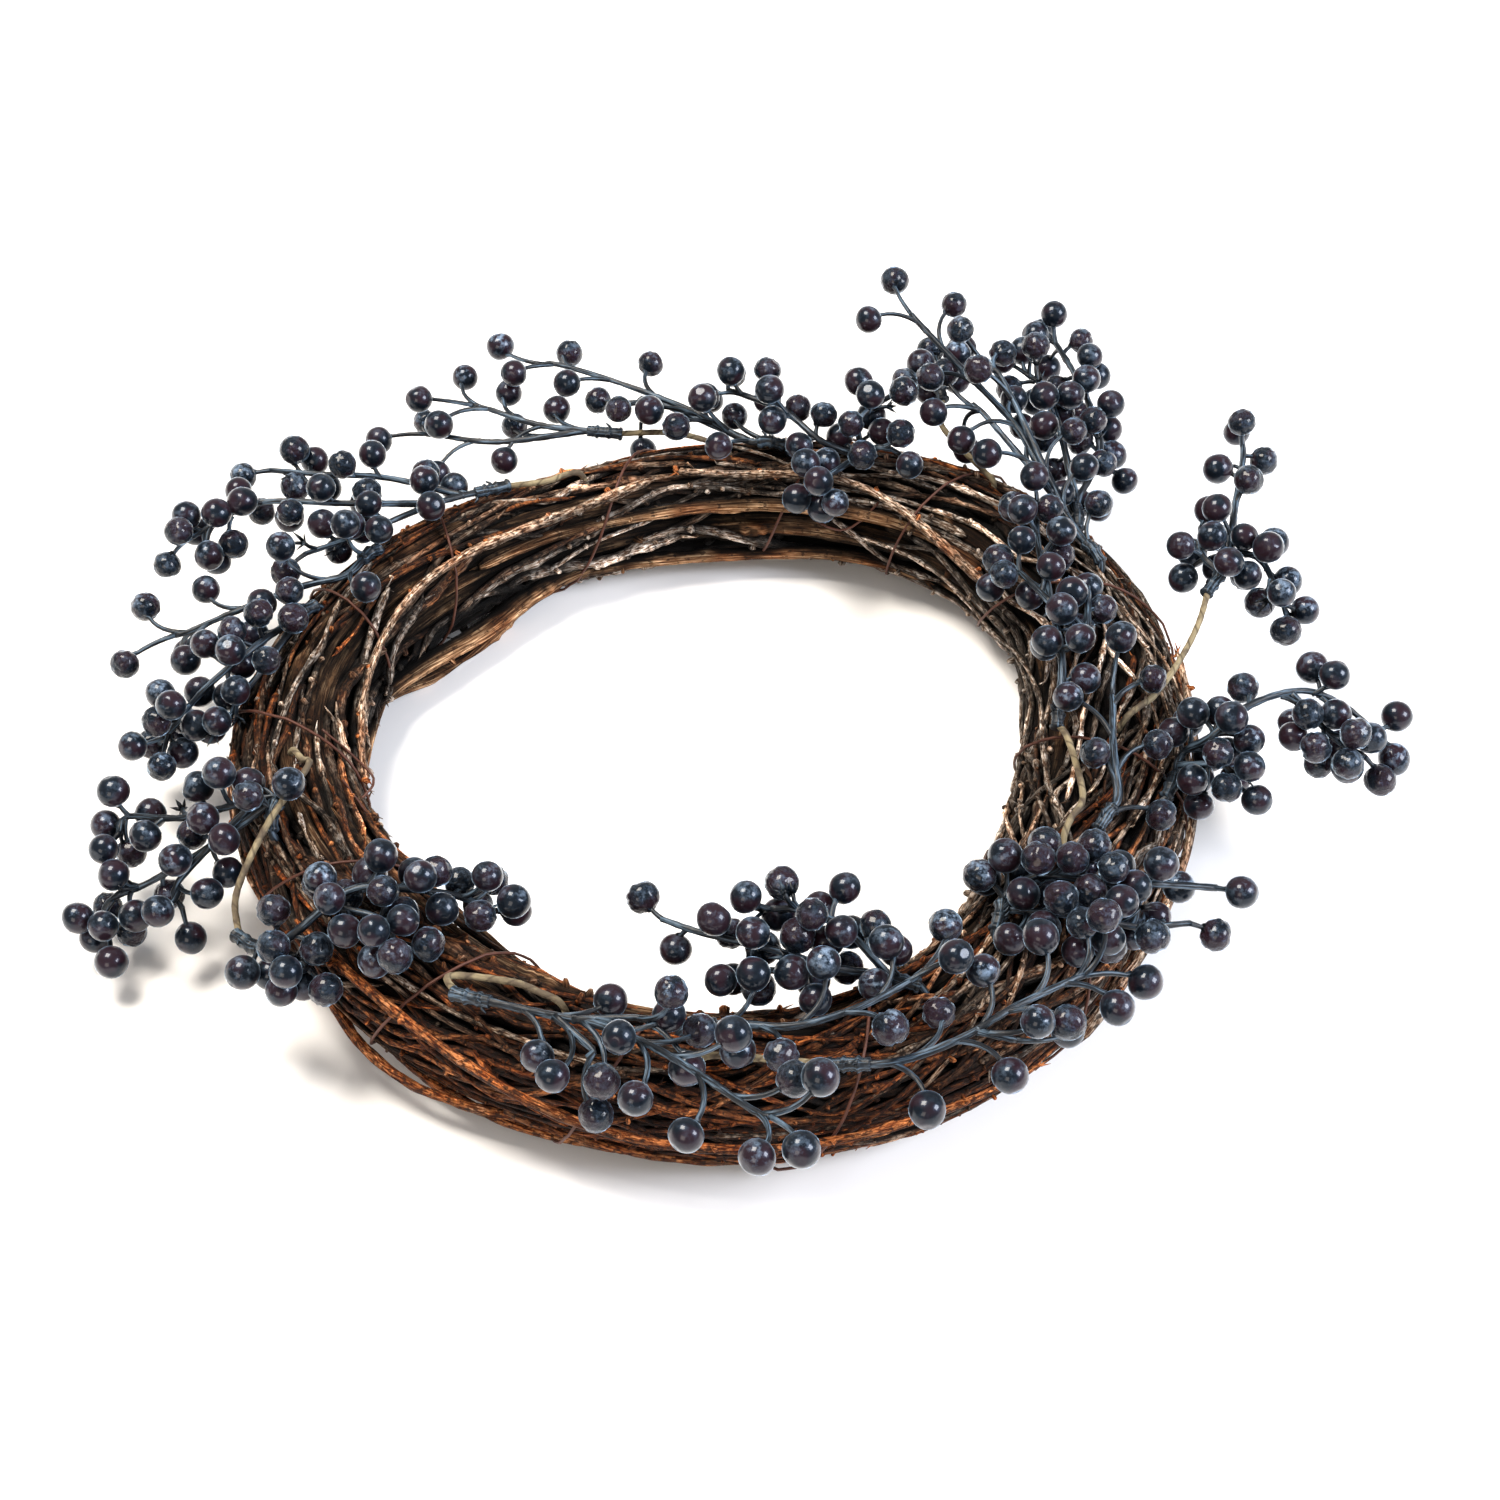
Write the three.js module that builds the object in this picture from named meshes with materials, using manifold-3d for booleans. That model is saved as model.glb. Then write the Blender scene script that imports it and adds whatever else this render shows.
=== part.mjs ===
// Twig wreath with dark berry sprays, lying on its back.
// Millimetres, +Z up. The origin lies on the surface, in the middle of the wreath's outline.
// The near side of the wreath is -Y, and angles run from +X towards +Y, in degrees.
import * as THREE from 'three';
import { mergeVertices } from 'three/addons/utils/BufferGeometryUtils.js';
import Module from 'manifold-3d';

const wasm = await Module();
wasm.setup();

// Hoop of wound twigs: a tube of oval section on a slightly three-cornered ring
const RING_CENTRE = [-12.19, 2.31];
const RING_RADIUS = 148.5;
const OVAL = 4.2;
const CORNERS = 6.4;
const CORNER_TURN = 49;
const HALF_WIDTH = 24.9;
const WIDER_RIGHT = 4.7;
const WIDER_TURN = 34;
const SECOND_WIDENING = 2.4;
const SECOND_TURN = 20;
const HALF_HEIGHT = 24;
const FOOT_HEIGHT = 2.4;
const RING_HEIGHT = HALF_HEIGHT + FOOT_HEIGHT;
const RING_STEP = 15;

// Outer twigs: one long winding that climbs round the section from the underside to the hole's rim
const TWIG_TURNS = 11;
const TWIG_PITCH = 18;
const TWIG_START = -99;
const TWIG_FILL = 0.46;
const TWIG_DEPTH = 3;
const TWIG_END = 0.5;
const TWIG_SIDES = 4;
const TURNS_PER_VINE = 3;

// Old thick branches on the hole's side, and the bundle inside
const BRANCH_RADIUS = 6.6;
const BRANCH_PLACES = [132, 180, 228];
const BRANCH_STARTS = [30, 255, 285];
const BRANCH_SPAN = 345;
const BRANCH_SIDES = 6;
const BRANCH_TAPER = 0.22;
const BRANCH_TIP = 0.48;
const CORE_SIZE = 0.48;
const CORE_OFFSET = 0.12;
const CORE_LOBES = 4;
const CORE_VALLEY = 0.72;

// Knots that the wreath rests on, cut flat where they would reach below the surface
const FOOT_RADIUS = 3.9;
const FOOT_CUT = 1;
const FOOT_ANGLES = [90, 210, 330];
const BELOW_FLOOR = [1000, 1000, 20];

// Binding wire, and the loose twigs that lie over it
const GAP = 0.3;
const WIRE_RADIUS = 0.65;
const WIRE_WRAPS = [5, 44, 61, 84, 122, 149, 165, 199, 222, 248, 272, 304, 340];
const WIRE_END = 363;
const WIRE_HOLE_PLACES = [132, 156, 180, 204, 228];
const OVER_WIRE = 2 * GAP + 2 * WIRE_RADIUS;
const THIN_SIDES = 3;
const LOOSE_RADIUS = 1.9;
const LOOSE_TIP = 1.3;
const LOOSE_LIFT = OVER_WIRE + 1.1 * LOOSE_RADIUS;
const LOOSE_STEP = 8;
const LOOSE_SWAY = 5;
const LOOSE_WAVE = 9;
const LOOSE_TWIGS = [
  { from: 214, to: 306, start: 38, end: 4, settle: 0 },
  { from: 312, to: 372, start: -6, end: 34, settle: 0 },
  { from: 100, to: 190, start: 118, end: 160, settle: 0.6 },
  { from: 36, to: 96, start: 150, end: 112, settle: 0.4 },
  { from: 96, to: 196, start: -6, end: -44, settle: 0 },
];

// Berry picks: stems, short stalks and berries
const BERRY_RADIUS = 5.5;
const STEM_RADIUS = 1.7;
const STEM_TIP = 1.1;
const PEDICEL_RADIUS = 0.8;
const CLEAR = 0.35;
const SLIVER = 0.2;
const FOOT_STEP = 7;
const STEM_LIFT = OVER_WIRE + STEM_RADIUS;
const STALK_SIDES = 4;
const COLLAR_GAP = 0.9;
const FIRST_BERRY = 0.16;
const LAST_BERRY = 0.99;
const FREE_STRETCH = [0.3, 0.4, 0.5, 0.6, 0.7, 0.8, 0.9];
const OWN_STEM_OVERLAP = 1;
const GOLDEN_ANGLE = 137.5;
const TRIES = 30;
const WIDER_EACH_TRY = 12;
const TIP_TRIES = 8;
const TIP_LEAN = 25;
const SHORTER_SHARE = 0.4;
const LONGEST_CUT = 0.7;
const FULL = { reach: 10, spread: 3, lean: 66, turn: GOLDEN_ANGLE, wander: 40, pastTip: 8 };
const OPEN = { reach: 20, spread: 4, lean: 52, turn: 180, wander: 55, pastTip: 17 };

// Each pick: where its foot is tucked in (angle, place round the section), and its arms.
// An arm's path is a list of angle round the ring, distance from the ring's centre, and height.
const PICKS = [
  { name: 'a', habit: FULL, foot: [112, 88], stalk: [[118, 139, 54]], arms: [
    { berries: 5, path: [[124, 147, 52], [134, 153, 54], [147, 162, 56], [155, 179, 54]] },
    { berries: 8, from: 0.35, path: [[144, 174, 60], [149, 204, 58], [154, 216, 54], [158, 227, 49]] },
    { berries: 5, from: 0.2, path: [[136, 176, 56], [142, 195, 60], [145, 221, 57]] },
  ] },
  { name: 'b', habit: OPEN, foot: [146, 75], arms: [
    { berries: 8, path: [[154, 154, 54], [158, 168, 52], [163, 189, 46], [166, 203, 42], [168, 218, 40]] },
  ] },
  { name: 'c', habit: FULL, foot: [160, 70], arms: [
    { berries: 9, path: [[165, 164, 52], [172, 171, 56], [177, 185, 50], [179, 198, 36], [179, 205, 24]] },
    { berries: 6, from: 0.15, path: [[173, 165, 50], [177, 170, 42], [181, 180, 34]] },
  ] },
  { name: 'd', habit: FULL, foot: [201, 50], arms: [
    { berries: 7, path: [[197, 158, 50], [196, 172, 50], [194, 192, 42], [191, 211, 36], [194, 219, 31]] },
    { berries: 7, from: 0.3, path: [[198, 186, 38], [198, 207, 28], [198, 223, 22], [203, 227, 12]] },
    { berries: 3, from: 0.42, path: [[200, 198, 32], [204, 200, 22]] },
  ] },
  { name: 'e', habit: FULL, foot: [189, 100], stalk: [[193, 146, 54], [201, 164, 53], [207, 182, 44]],
    arms: [
    { berries: 10, path: [[212, 188, 40], [215, 186, 43], [218, 179, 52], [219, 156, 62], [223, 141, 61],
      [228, 127, 55], [235, 120, 47]] },
    { berries: 4, from: 0.05, path: [[218, 180, 46], [224, 176, 42]] },
    { berries: 3, from: 0.45, path: [[225, 154, 60], [230, 158, 54]] },
  ] },
  { name: 'f', habit: OPEN, foot: [88, 86], stalk: [[96, 154, 54]], arms: [
    { berries: 6, path: [[104, 160, 52], [113, 174, 52], [118, 194, 52], [122, 209, 53]] },
    { berries: 4, from: 0.12, path: [[119, 177, 48], [124, 196, 45], [128, 214, 43]] },
  ] },
  { name: 'g', habit: OPEN, foot: [79, 82], arms: [
    { berries: 9, path: [[85, 149, 54], [93, 164, 57], [102, 185, 58], [108, 204, 57], [113, 214, 55]] },
    { berries: 3, from: 0.3, path: [[98, 173, 56], [104, 176, 54]] },
  ] },
  { name: 'h', habit: FULL, foot: [66, 96], arms: [
    { berries: 8, path: [[68, 148, 56], [73, 145, 62], [79, 154, 66], [85, 162, 66], [90, 171, 64]] },
    { berries: 4, from: 0.12, path: [[68, 155, 68], [65, 179, 70]] },
    { berries: 3, from: 0.05, path: [[64, 149, 62], [60, 157, 58]] },
    { berries: 3, from: 0.12, path: [[69, 128, 60], [74, 122, 56]] },
  ] },
  { name: 'i', habit: OPEN, foot: [28, 70], arms: [
    { berries: 9, path: [[32, 168, 52], [40, 171, 60], [49, 183, 68], [58, 188, 80], [65, 197, 88],
      [70, 207, 94]] },
    { berries: 3, from: 0.42, path: [[54, 181, 70], [59, 181, 72]] },
    { berries: 4, from: 0.36, path: [[53, 192, 78], [60, 200, 84]] },
  ] },
  { name: 'j', habit: FULL, foot: [36, 52], arms: [
    { berries: 11, path: [[39, 184, 50], [42, 207, 56], [48, 226, 60], [54, 245, 60], [58, 260, 58]] },
    { berries: 4, from: 0.3, path: [[50, 212, 62], [57, 228, 62]] },
  ] },
  { name: 'k', habit: FULL, foot: [332, 101], stalk: [[340, 136, 54], [351, 127, 54]], arms: [
    { berries: 9, path: [[355, 123, 54], [5, 126, 62], [19, 132, 62], [33, 147, 60], [42, 170, 58]] },
    { berries: 2, from: 0.5, path: [[28, 131, 60], [32, 131, 58]] },
    { berries: 3, from: 0.3, path: [[9, 136, 66], [22, 151, 62]] },
  ] },
  { name: 'l', habit: OPEN, foot: [335, 74], arms: [
    { berries: 6, path: [[341, 148, 55], [347, 143, 60], [356, 142, 60], [5, 144, 58]] },
  ] },
  { name: 'm', habit: FULL, foot: [357, 80], stalk: [[2, 160, 52], [8, 173, 52], [12, 183, 56]], arms: [
    { berries: 8, path: [[16, 192, 60], [19, 204, 62], [26, 223, 62], [32, 246, 60], [36, 261, 58]] },
    { berries: 4, from: 0.15, path: [[21, 197, 62], [27, 210, 60]] },
    { berries: 6, from: 0.3, path: [[19, 219, 58], [14, 218, 55], [12, 219, 54]] },
  ] },
  { name: 'n', habit: FULL, foot: [346, 44], arms: [
    { berries: 11, path: [[353, 168, 48], [352, 176, 60], [355, 189, 68], [358, 208, 66], [358, 223, 60],
      [357, 235, 52], [356, 245, 47]] },
    { berries: 4, from: 0.2, path: [[349, 182, 56], [347, 190, 48]] },
    { berries: 3, from: 0.6, path: [[355, 221, 54], [354, 239, 45]] },
  ] },
  { name: 'o', habit: FULL, foot: [311, 100], arms: [
    { berries: 9, path: [[316, 135, 56], [320, 142, 62], [323, 159, 64], [328, 176, 60], [333, 197, 53]] },
    { berries: 6, from: 0.2, path: [[318, 160, 60], [322, 176, 56], [329, 193, 48]] },
  ] },
  { name: 'p', habit: OPEN, foot: [269, 74], stalk: [[277, 163, 54]], arms: [
    { berries: 9, path: [[283, 168, 54], [289, 175, 58], [296, 177, 62], [302, 176, 64], [309, 178, 64],
      [316, 183, 61]] },
    { berries: 2, from: 0.45, path: [[300, 182, 60], [303, 188, 56]] },
  ] },
  { name: 'q', habit: OPEN, foot: [266, 101], arms: [
    { berries: 8, path: [[272, 149, 56], [279, 155, 60], [286, 155, 63], [293, 152, 64], [303, 146, 63]] },
  ] },
  { name: 'r', habit: FULL, foot: [297, 112], arms: [
    { berries: 9, path: [[293, 138, 54], [286, 134, 60], [279, 127, 64], [268, 118, 64], [257, 109, 61]] },
    { berries: 4, from: 0.25, path: [[289, 125, 68], [283, 116, 70], [275, 113, 70]] },
    { berries: 2, from: 0.4, path: [[276, 131, 60], [271, 131, 59]] },
  ] },
  { name: 's', habit: OPEN, foot: [250, 94], stalk: [[243, 146, 54], [236, 154, 54]], arms: [
    { berries: 11, path: [[239, 160, 56], [249, 158, 60], [258, 162, 66], [266, 179, 76], [273, 207, 88],
      [277, 220, 94]] },
    { berries: 3, from: 0.3, path: [[261, 158, 68], [266, 165, 70]] },
    { berries: 3, from: 0.25, path: [[257, 169, 62], [255, 176, 58]] },
  ] },
  { name: 't', habit: FULL, foot: [49, 72], stalk: [[59, 179, 57]], arms: [
    { berries: 5, path: [[61, 191, 62], [63, 199, 66], [61, 211, 70]] },
  ] },
];

const radians = THREE.MathUtils.degToRad;
const UP = new THREE.Vector3(0, 0, 1);

// Shape of the hoop

function ringRadius(angle) {
  const a = radians(angle);
  return RING_RADIUS + OVAL * Math.sin(2 * a) + CORNERS * Math.sin(3 * a - radians(CORNER_TURN));
}

function halfWidth(angle) {
  const widening = WIDER_RIGHT * Math.cos(radians(angle + WIDER_TURN));
  return HALF_WIDTH + widening + SECOND_WIDENING * Math.cos(radians(2 * angle - SECOND_TURN));
}

function polar(angle, radius, height) {
  const [x, y] = RING_CENTRE;
  const a = radians(angle);
  return new THREE.Vector3(x + radius * Math.cos(a), y + radius * Math.sin(a), height);
}

// Point of the hoop's skin at a place round the section: 0 outside, 90 on top, 180 in the hole
function smoothSkin(angle, place, lift) {
  const out = (halfWidth(angle) + lift) * Math.cos(radians(place));
  const up = (HALF_HEIGHT + lift) * Math.sin(radians(place));
  return polar(angle, ringRadius(angle) + out, RING_HEIGHT + up);
}

// The same on the straight stretches that the hoop's solids are made of
function skin(angle, place, lift) {
  const station = Math.floor(angle / RING_STEP) * RING_STEP;
  const next = smoothSkin(station + RING_STEP, place, lift);
  return smoothSkin(station, place, lift).lerp(next, (angle - station) / RING_STEP);
}

function skinNormal(angle, place) {
  const out = Math.cos(radians(place)) / halfWidth(angle);
  const up = Math.sin(radians(place)) / HALF_HEIGHT;
  const a = radians(angle);
  return new THREE.Vector3(out * Math.cos(a), out * Math.sin(a), up).normalize();
}

function along(angle) {
  return new THREE.Vector3(-Math.sin(radians(angle)), Math.cos(radians(angle)), 0);
}

// How far a point has to be scaled out from the section's middle to lie on the lifted skin
function sectionPlace(point, lift) {
  const x = point.x - RING_CENTRE[0];
  const y = point.y - RING_CENTRE[1];
  const angle = THREE.MathUtils.radToDeg(Math.atan2(y, x));
  const out = Math.hypot(x, y) - ringRadius(angle);
  const up = point.z - RING_HEIGHT;
  const scale = Math.hypot(out / (halfWidth(angle) + lift), up / (HALF_HEIGHT + lift));
  return { angle, out, up, scale };
}

function clearOfRing(point, lift) {
  return sectionPlace(point, lift).scale >= 1;
}

function pushedOut(point, lift) {
  const { angle, out, up, scale } = sectionPlace(point, lift);
  if (scale >= 1) return point;
  return polar(angle, ringRadius(angle) + out / scale, RING_HEIGHT + up / scale);
}

// Place of the outer winding's ridge nearest to a wanted place round the section
function ridgePlace(angle, wanted) {
  const first = TWIG_START + TWIG_PITCH * (((angle % 360) + 360) % 360) / 360;
  const turn = Math.round((wanted - first) / TWIG_PITCH);
  return first + TWIG_PITCH * THREE.MathUtils.clamp(turn, 0, TWIG_TURNS - 1);
}

// Half the width of a twig in the winding, from the space between two turns
function twigRadius(angle, place) {
  const p = radians(place);
  const across = (halfWidth(angle) - TWIG_DEPTH) * Math.sin(p);
  const up = (HALF_HEIGHT - TWIG_DEPTH) * Math.cos(p);
  return TWIG_FILL * radians(TWIG_PITCH) * Math.hypot(across, up);
}

// Swept solids

function section(centre, tangent, normal, radii) {
  const side = new THREE.Vector3().crossVectors(tangent, normal);
  return radii.map((radius, i) => {
    const turn = (2 * Math.PI * i) / radii.length;
    return centre.clone()
      .addScaledVector(normal, radius * Math.cos(turn))
      .addScaledVector(side, radius * Math.sin(turn));
  });
}

function sweep(sections) {
  const sides = sections[0].length;
  const points = sections.flat();
  const index = [];
  for (let i = 0; i < sections.length - 1; i += 1) {
    for (let j = 0; j < sides; j += 1) {
      const a = i * sides + j;
      const b = i * sides + ((j + 1) % sides);
      index.push(a, b, b + sides, a, b + sides, a + sides);
    }
  }
  const last = (sections.length - 1) * sides;
  for (let j = 1; j < sides - 1; j += 1) {
    index.push(0, j + 1, j, last, last + j, last + j + 1);
  }
  const geometry = new THREE.BufferGeometry().setFromPoints(points);
  geometry.setIndex(index);
  return geometry;
}

// A stem starts with one corner of its section turned to the hoop, so that it lies close on it
function stemGeometry(points, startRadius, endRadius, sides) {
  let normal = towardsHoop(points[0]);
  const sections = points.map((point, i) => {
    const tangent = pathTangent(points, i);
    normal = normal.clone().addScaledVector(tangent, -normal.dot(tangent)).normalize();
    const radius = THREE.MathUtils.lerp(startRadius, endRadius, i / (points.length - 1));
    return section(point, tangent, normal, Array(sides).fill(radius));
  });
  return sweep(sections);
}

function towardsHoop(point) {
  const { angle } = sectionPlace(point, 0);
  return polar(angle, ringRadius(angle), RING_HEIGHT).sub(point);
}

function pathTangent(points, i) {
  const before = points[Math.max(i - 1, 0)];
  const after = points[Math.min(i + 1, points.length - 1)];
  return new THREE.Vector3().subVectors(after, before).normalize();
}

function sideways(tangent) {
  const side = new THREE.Vector3().crossVectors(tangent, UP);
  if (side.length() < 0.1) side.set(1, 0, 0);
  return side.normalize();
}

// Joining and cutting

function plainGeometry(geometry) {
  const bare = geometry.clone();
  for (const name of ['normal', 'uv']) {
    if (bare.getAttribute(name)) bare.deleteAttribute(name);
  }
  return mergeVertices(bare);
}

function toSolid(geometry) {
  const merged = plainGeometry(geometry);
  return new wasm.Manifold(new wasm.Mesh({
    numProp: 3,
    vertProperties: new Float32Array(merged.getAttribute('position').array),
    triVerts: new Uint32Array(merged.getIndex().array),
  }));
}

function toGeometry(solid) {
  const mesh = solid.getMesh();
  const geometry = new THREE.BufferGeometry();
  geometry.setAttribute('position', new THREE.BufferAttribute(mesh.vertProperties, 3));
  geometry.setIndex(new THREE.BufferAttribute(mesh.triVerts, 1));
  return geometry;
}

// Joins overlapping pieces and clears away the slivers that the joints leave
function fused(geometries) {
  return toGeometry(wasm.Manifold.union(geometries.map(toSolid)).asOriginal().simplify(SLIVER));
}

// Materials

function material(color, roughness, metalness = 0) {
  return new THREE.MeshStandardMaterial({ color, roughness, metalness });
}

const GREY_BARK = material(0x6e655a, 0.9);
const BROWN_BARK = material(0x6b3a22, 0.85);
const RED_BARK = material(0x7a3b1e, 0.8);
const RUSTY_WIRE = material(0x6b3020, 0.6, 0.7);
const WRAPPED_STALK = material(0xa39165, 0.85);
const DARK_BERRY = material(0x252a33, 0.35);

const wreath = new THREE.Group();

function addPiece(name, geometry, finish) {
  geometry.computeVertexNormals();
  const mesh = new THREE.Mesh(geometry, finish);
  mesh.name = name;
  wreath.add(mesh);
}

// Thick branches and the bundle inside

function branchGeometry(place, start) {
  const steps = BRANCH_SPAN / RING_STEP;
  const sections = [];
  for (let i = 0; i <= steps; i += 1) {
    const angle = start + i * RING_STEP;
    const thinning = i === steps ? BRANCH_TIP : 1 - BRANCH_TAPER * (i / steps);
    const radius = BRANCH_RADIUS * thinning;
    const normal = skinNormal(angle, place);
    const radii = Array(BRANCH_SIDES).fill(radius);
    sections.push(section(skin(angle, place, -radius), along(angle), normal, radii));
  }
  return sweep(sections);
}

function coreGeometry() {
  const sections = [];
  for (let angle = 0; angle < 360; angle += RING_STEP) {
    const width = halfWidth(angle);
    const centre = polar(angle, ringRadius(angle) + CORE_OFFSET * width, RING_HEIGHT);
    const out = polar(angle, 1, 0).sub(polar(angle, 0, 0));
    const normal = out.applyAxisAngle(along(angle), radians(angle));
    const radii = Array.from({ length: 2 * CORE_LOBES }, (_, i) => (
      width * CORE_SIZE * (i % 2 ? CORE_VALLEY : 1)));
    sections.push(section(centre, along(angle), normal, radii));
  }
  return sweep(sections);
}

// Outer winding, in lengths of a few turns, and the knots under the first one

function vineGeometry(firstTurn, turns) {
  const steps = Math.round((turns * 360) / RING_STEP) - 1;
  const sections = [];
  for (let i = 0; i <= steps; i += 1) {
    const angle = i * RING_STEP;
    const place = TWIG_START + TWIG_PITCH * (firstTurn + angle / 360);
    const atEnd = i === 0 || i === steps;
    const radius = twigRadius(angle, place) * (atEnd ? TWIG_END : 1);
    const centre = skin(angle, place, -radius);
    const radii = Array(TWIG_SIDES).fill(radius);
    sections.push(section(centre, along(angle), skinNormal(angle, place), radii));
  }
  return sweep(sections);
}

function footGeometry(angle) {
  const place = ridgePlace(angle, -90);
  const centre = skin(angle, place, 0);
  const knot = new THREE.IcosahedronGeometry(FOOT_RADIUS, 0);
  return knot.translate(centre.x, centre.y, FOOT_RADIUS - FOOT_CUT);
}

function footedVineGeometry() {
  const knots = FOOT_ANGLES.map((angle) => toSolid(footGeometry(angle)));
  const below = new THREE.BoxGeometry(...BELOW_FLOOR).translate(0, 0, -BELOW_FLOOR[2] / 2);
  const whole = wasm.Manifold.union([toSolid(vineGeometry(0, TURNS_PER_VINE)), ...knots]);
  return toGeometry(whole.subtract(toSolid(below)));
}

// Binding wire: round the section at each wrap, from ridge to ridge

function wirePoints() {
  const lift = GAP + WIRE_RADIUS;
  const points = [];
  for (let wrap = 0; wrap < WIRE_WRAPS.length; wrap += 1) {
    const angle = WIRE_WRAPS[wrap];
    const next = WIRE_WRAPS[wrap + 1] ?? WIRE_END;
    for (let turn = 0; turn < TWIG_TURNS; turn += 1) {
      const near = angle + (next - angle) * (turn * TWIG_PITCH) / 360;
      const place = TWIG_START + TWIG_PITCH * (turn + near / 360);
      points.push(skin(near, place, lift));
    }
    for (const place of WIRE_HOLE_PLACES) {
      const near = angle + ((next - angle) * (place - TWIG_START)) / 360;
      points.push(skin(near, place, lift));
    }
  }
  return points;
}

// Loose twigs over the wire

function loosePoints(twig) {
  const steps = Math.round((twig.to - twig.from) / LOOSE_STEP);
  return Array.from({ length: steps + 1 }, (_, i) => {
    const t = i / steps;
    const angle = THREE.MathUtils.lerp(twig.from, twig.to, t);
    const sway = LOOSE_SWAY * Math.sin(t * LOOSE_WAVE);
    const place = THREE.MathUtils.lerp(twig.start, twig.end, t) + sway;
    return skin(angle, place, LOOSE_LIFT - twig.settle);
  });
}

// Berry picks

// Seeded draw between 0 and 1
function randomDraw(seed) {
  const factor = 1664525;
  const step = 1013904223;
  const range = 2 ** 32;
  let state = seed;
  return () => {
    state = (state * factor + step) % range;
    return state / range;
  };
}

function pointAt(line, t) {
  const place = t * (line.length - 1);
  const i = Math.min(Math.floor(place), line.length - 2);
  return new THREE.Vector3().lerpVectors(line[i], line[i + 1], place - i);
}

function directionAt(line, t) {
  const i = Math.min(Math.floor(t * (line.length - 1)), line.length - 2);
  return new THREE.Vector3().subVectors(line[i + 1], line[i]).normalize();
}

function pickLines(pick) {
  const [angle, place] = pick.foot;
  const foot = skin(angle, ridgePlace(angle, place), CLEAR + STEM_RADIUS);
  const stalk = (pick.stalk ?? []).map((point) => pushedOut(polar(...point), STEM_LIFT));
  const arms = [];
  for (const arm of pick.arms) {
    const path = cutShort(arm.path.map((point) => polar(...point)), pick.habit.pastTip);
    if (arm.from) path.unshift(pointAt(arms[0], arm.from));
    else if (!pick.stalk) path.unshift(foot);
    const line = path.map((p, i) => (i === 0 ? p : pushedOut(p, STEM_LIFT)));
    arms.push(!arm.from && !pick.stalk ? steppedUp(line) : line);
  }
  if (!pick.stalk) return { arms, stalk: null };
  const end = arms[0][0].clone().addScaledVector(directionAt(arms[0], 0), -COLLAR_GAP);
  return { arms, stalk: steppedUp([foot, ...stalk, end]) };
}

// A path ends at its outermost berry, and the stem stops short of that
function cutShort(path, pastTip) {
  const end = path[path.length - 1];
  const before = path[path.length - 2];
  const length = end.distanceTo(before);
  end.lerp(before, Math.min(pastTip / length, LONGEST_CUT));
  return path;
}

// A stem lies on the twigs at its foot only, and steps up over the wire from there
function steppedUp(line) {
  const [foot, next, ...rest] = line;
  const onward = new THREE.Vector3().subVectors(next, foot).setLength(FOOT_STEP);
  return [foot, pushedOut(onward.add(foot), STEM_LIFT), next, ...rest];
}

function distanceToSegment(point, a, b) {
  const line = new THREE.Vector3().subVectors(b, a);
  const length = line.lengthSq();
  const offset = new THREE.Vector3().subVectors(point, a);
  const t = length > 0 ? THREE.MathUtils.clamp(offset.dot(line) / length, 0, 1) : 0;
  return offset.addScaledVector(line, -t).length();
}

function lineRods(line, startRadius, endRadius, owner) {
  return line.slice(1).map((point, i) => ({
    a: line[i],
    b: point,
    radius: THREE.MathUtils.lerp(startRadius, endRadius, i / (line.length - 1)),
    owner,
    kind: 'stem',
  }));
}

// True where a berry and its short stalk clear the ring, the surface below and everything placed
function fits(base, centre, owner, placed) {
  if (centre.z < BERRY_RADIUS + 2 * GAP) return false;
  if (!clearOfRing(centre, BERRY_RADIUS + OVER_WIRE + CLEAR)) return false;
  const samples = FREE_STRETCH.map((t) => new THREE.Vector3().lerpVectors(base, centre, t));
  if (!samples.every((p) => clearOfRing(p, PEDICEL_RADIUS + OVER_WIRE))) return false;
  return placed.every((rod) => {
    const own = rod.owner === owner;
    const toBerry = distanceToSegment(centre, rod.a, rod.b) - rod.radius - BERRY_RADIUS;
    if (toBerry < (own && rod.kind === 'stem' ? -OWN_STEM_OVERLAP : CLEAR)) return false;
    if (own && rod.kind !== 'berry') return true;
    const nearest = Math.min(...samples.map((p) => distanceToSegment(p, rod.a, rod.b)));
    return nearest - rod.radius - PEDICEL_RADIUS >= CLEAR;
  });
}

function growBerry(line, berry, berries, habit, owner, draw, placed) {
  const isTip = berry === berries - 1;
  const t = THREE.MathUtils.lerp(FIRST_BERRY, LAST_BERRY, berry / (berries - 1));
  const base = pointAt(line, t);
  const tangent = directionAt(line, t);
  const side = sideways(tangent);
  const lift = new THREE.Vector3().crossVectors(side, tangent);
  for (let attempt = 0; attempt < TRIES; attempt += 1) {
    const wander = habit.wander + WIDER_EACH_TRY * attempt;
    const turn = radians(berry * habit.turn + (draw() - 0.5) * wander);
    const lean = radians(isTip && attempt < TIP_TRIES ? TIP_LEAN : habit.lean);
    const reach = habit.reach + habit.spread * (draw() - SHORTER_SHARE);
    const direction = tangent.clone().multiplyScalar(Math.cos(lean))
      .addScaledVector(side, Math.sin(lean) * Math.cos(turn))
      .addScaledVector(lift, Math.sin(lean) * Math.sin(turn));
    const centre = base.clone().addScaledVector(direction, reach);
    if (fits(base, centre, owner, placed)) return { base, centre, direction };
  }
  return null;
}

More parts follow.
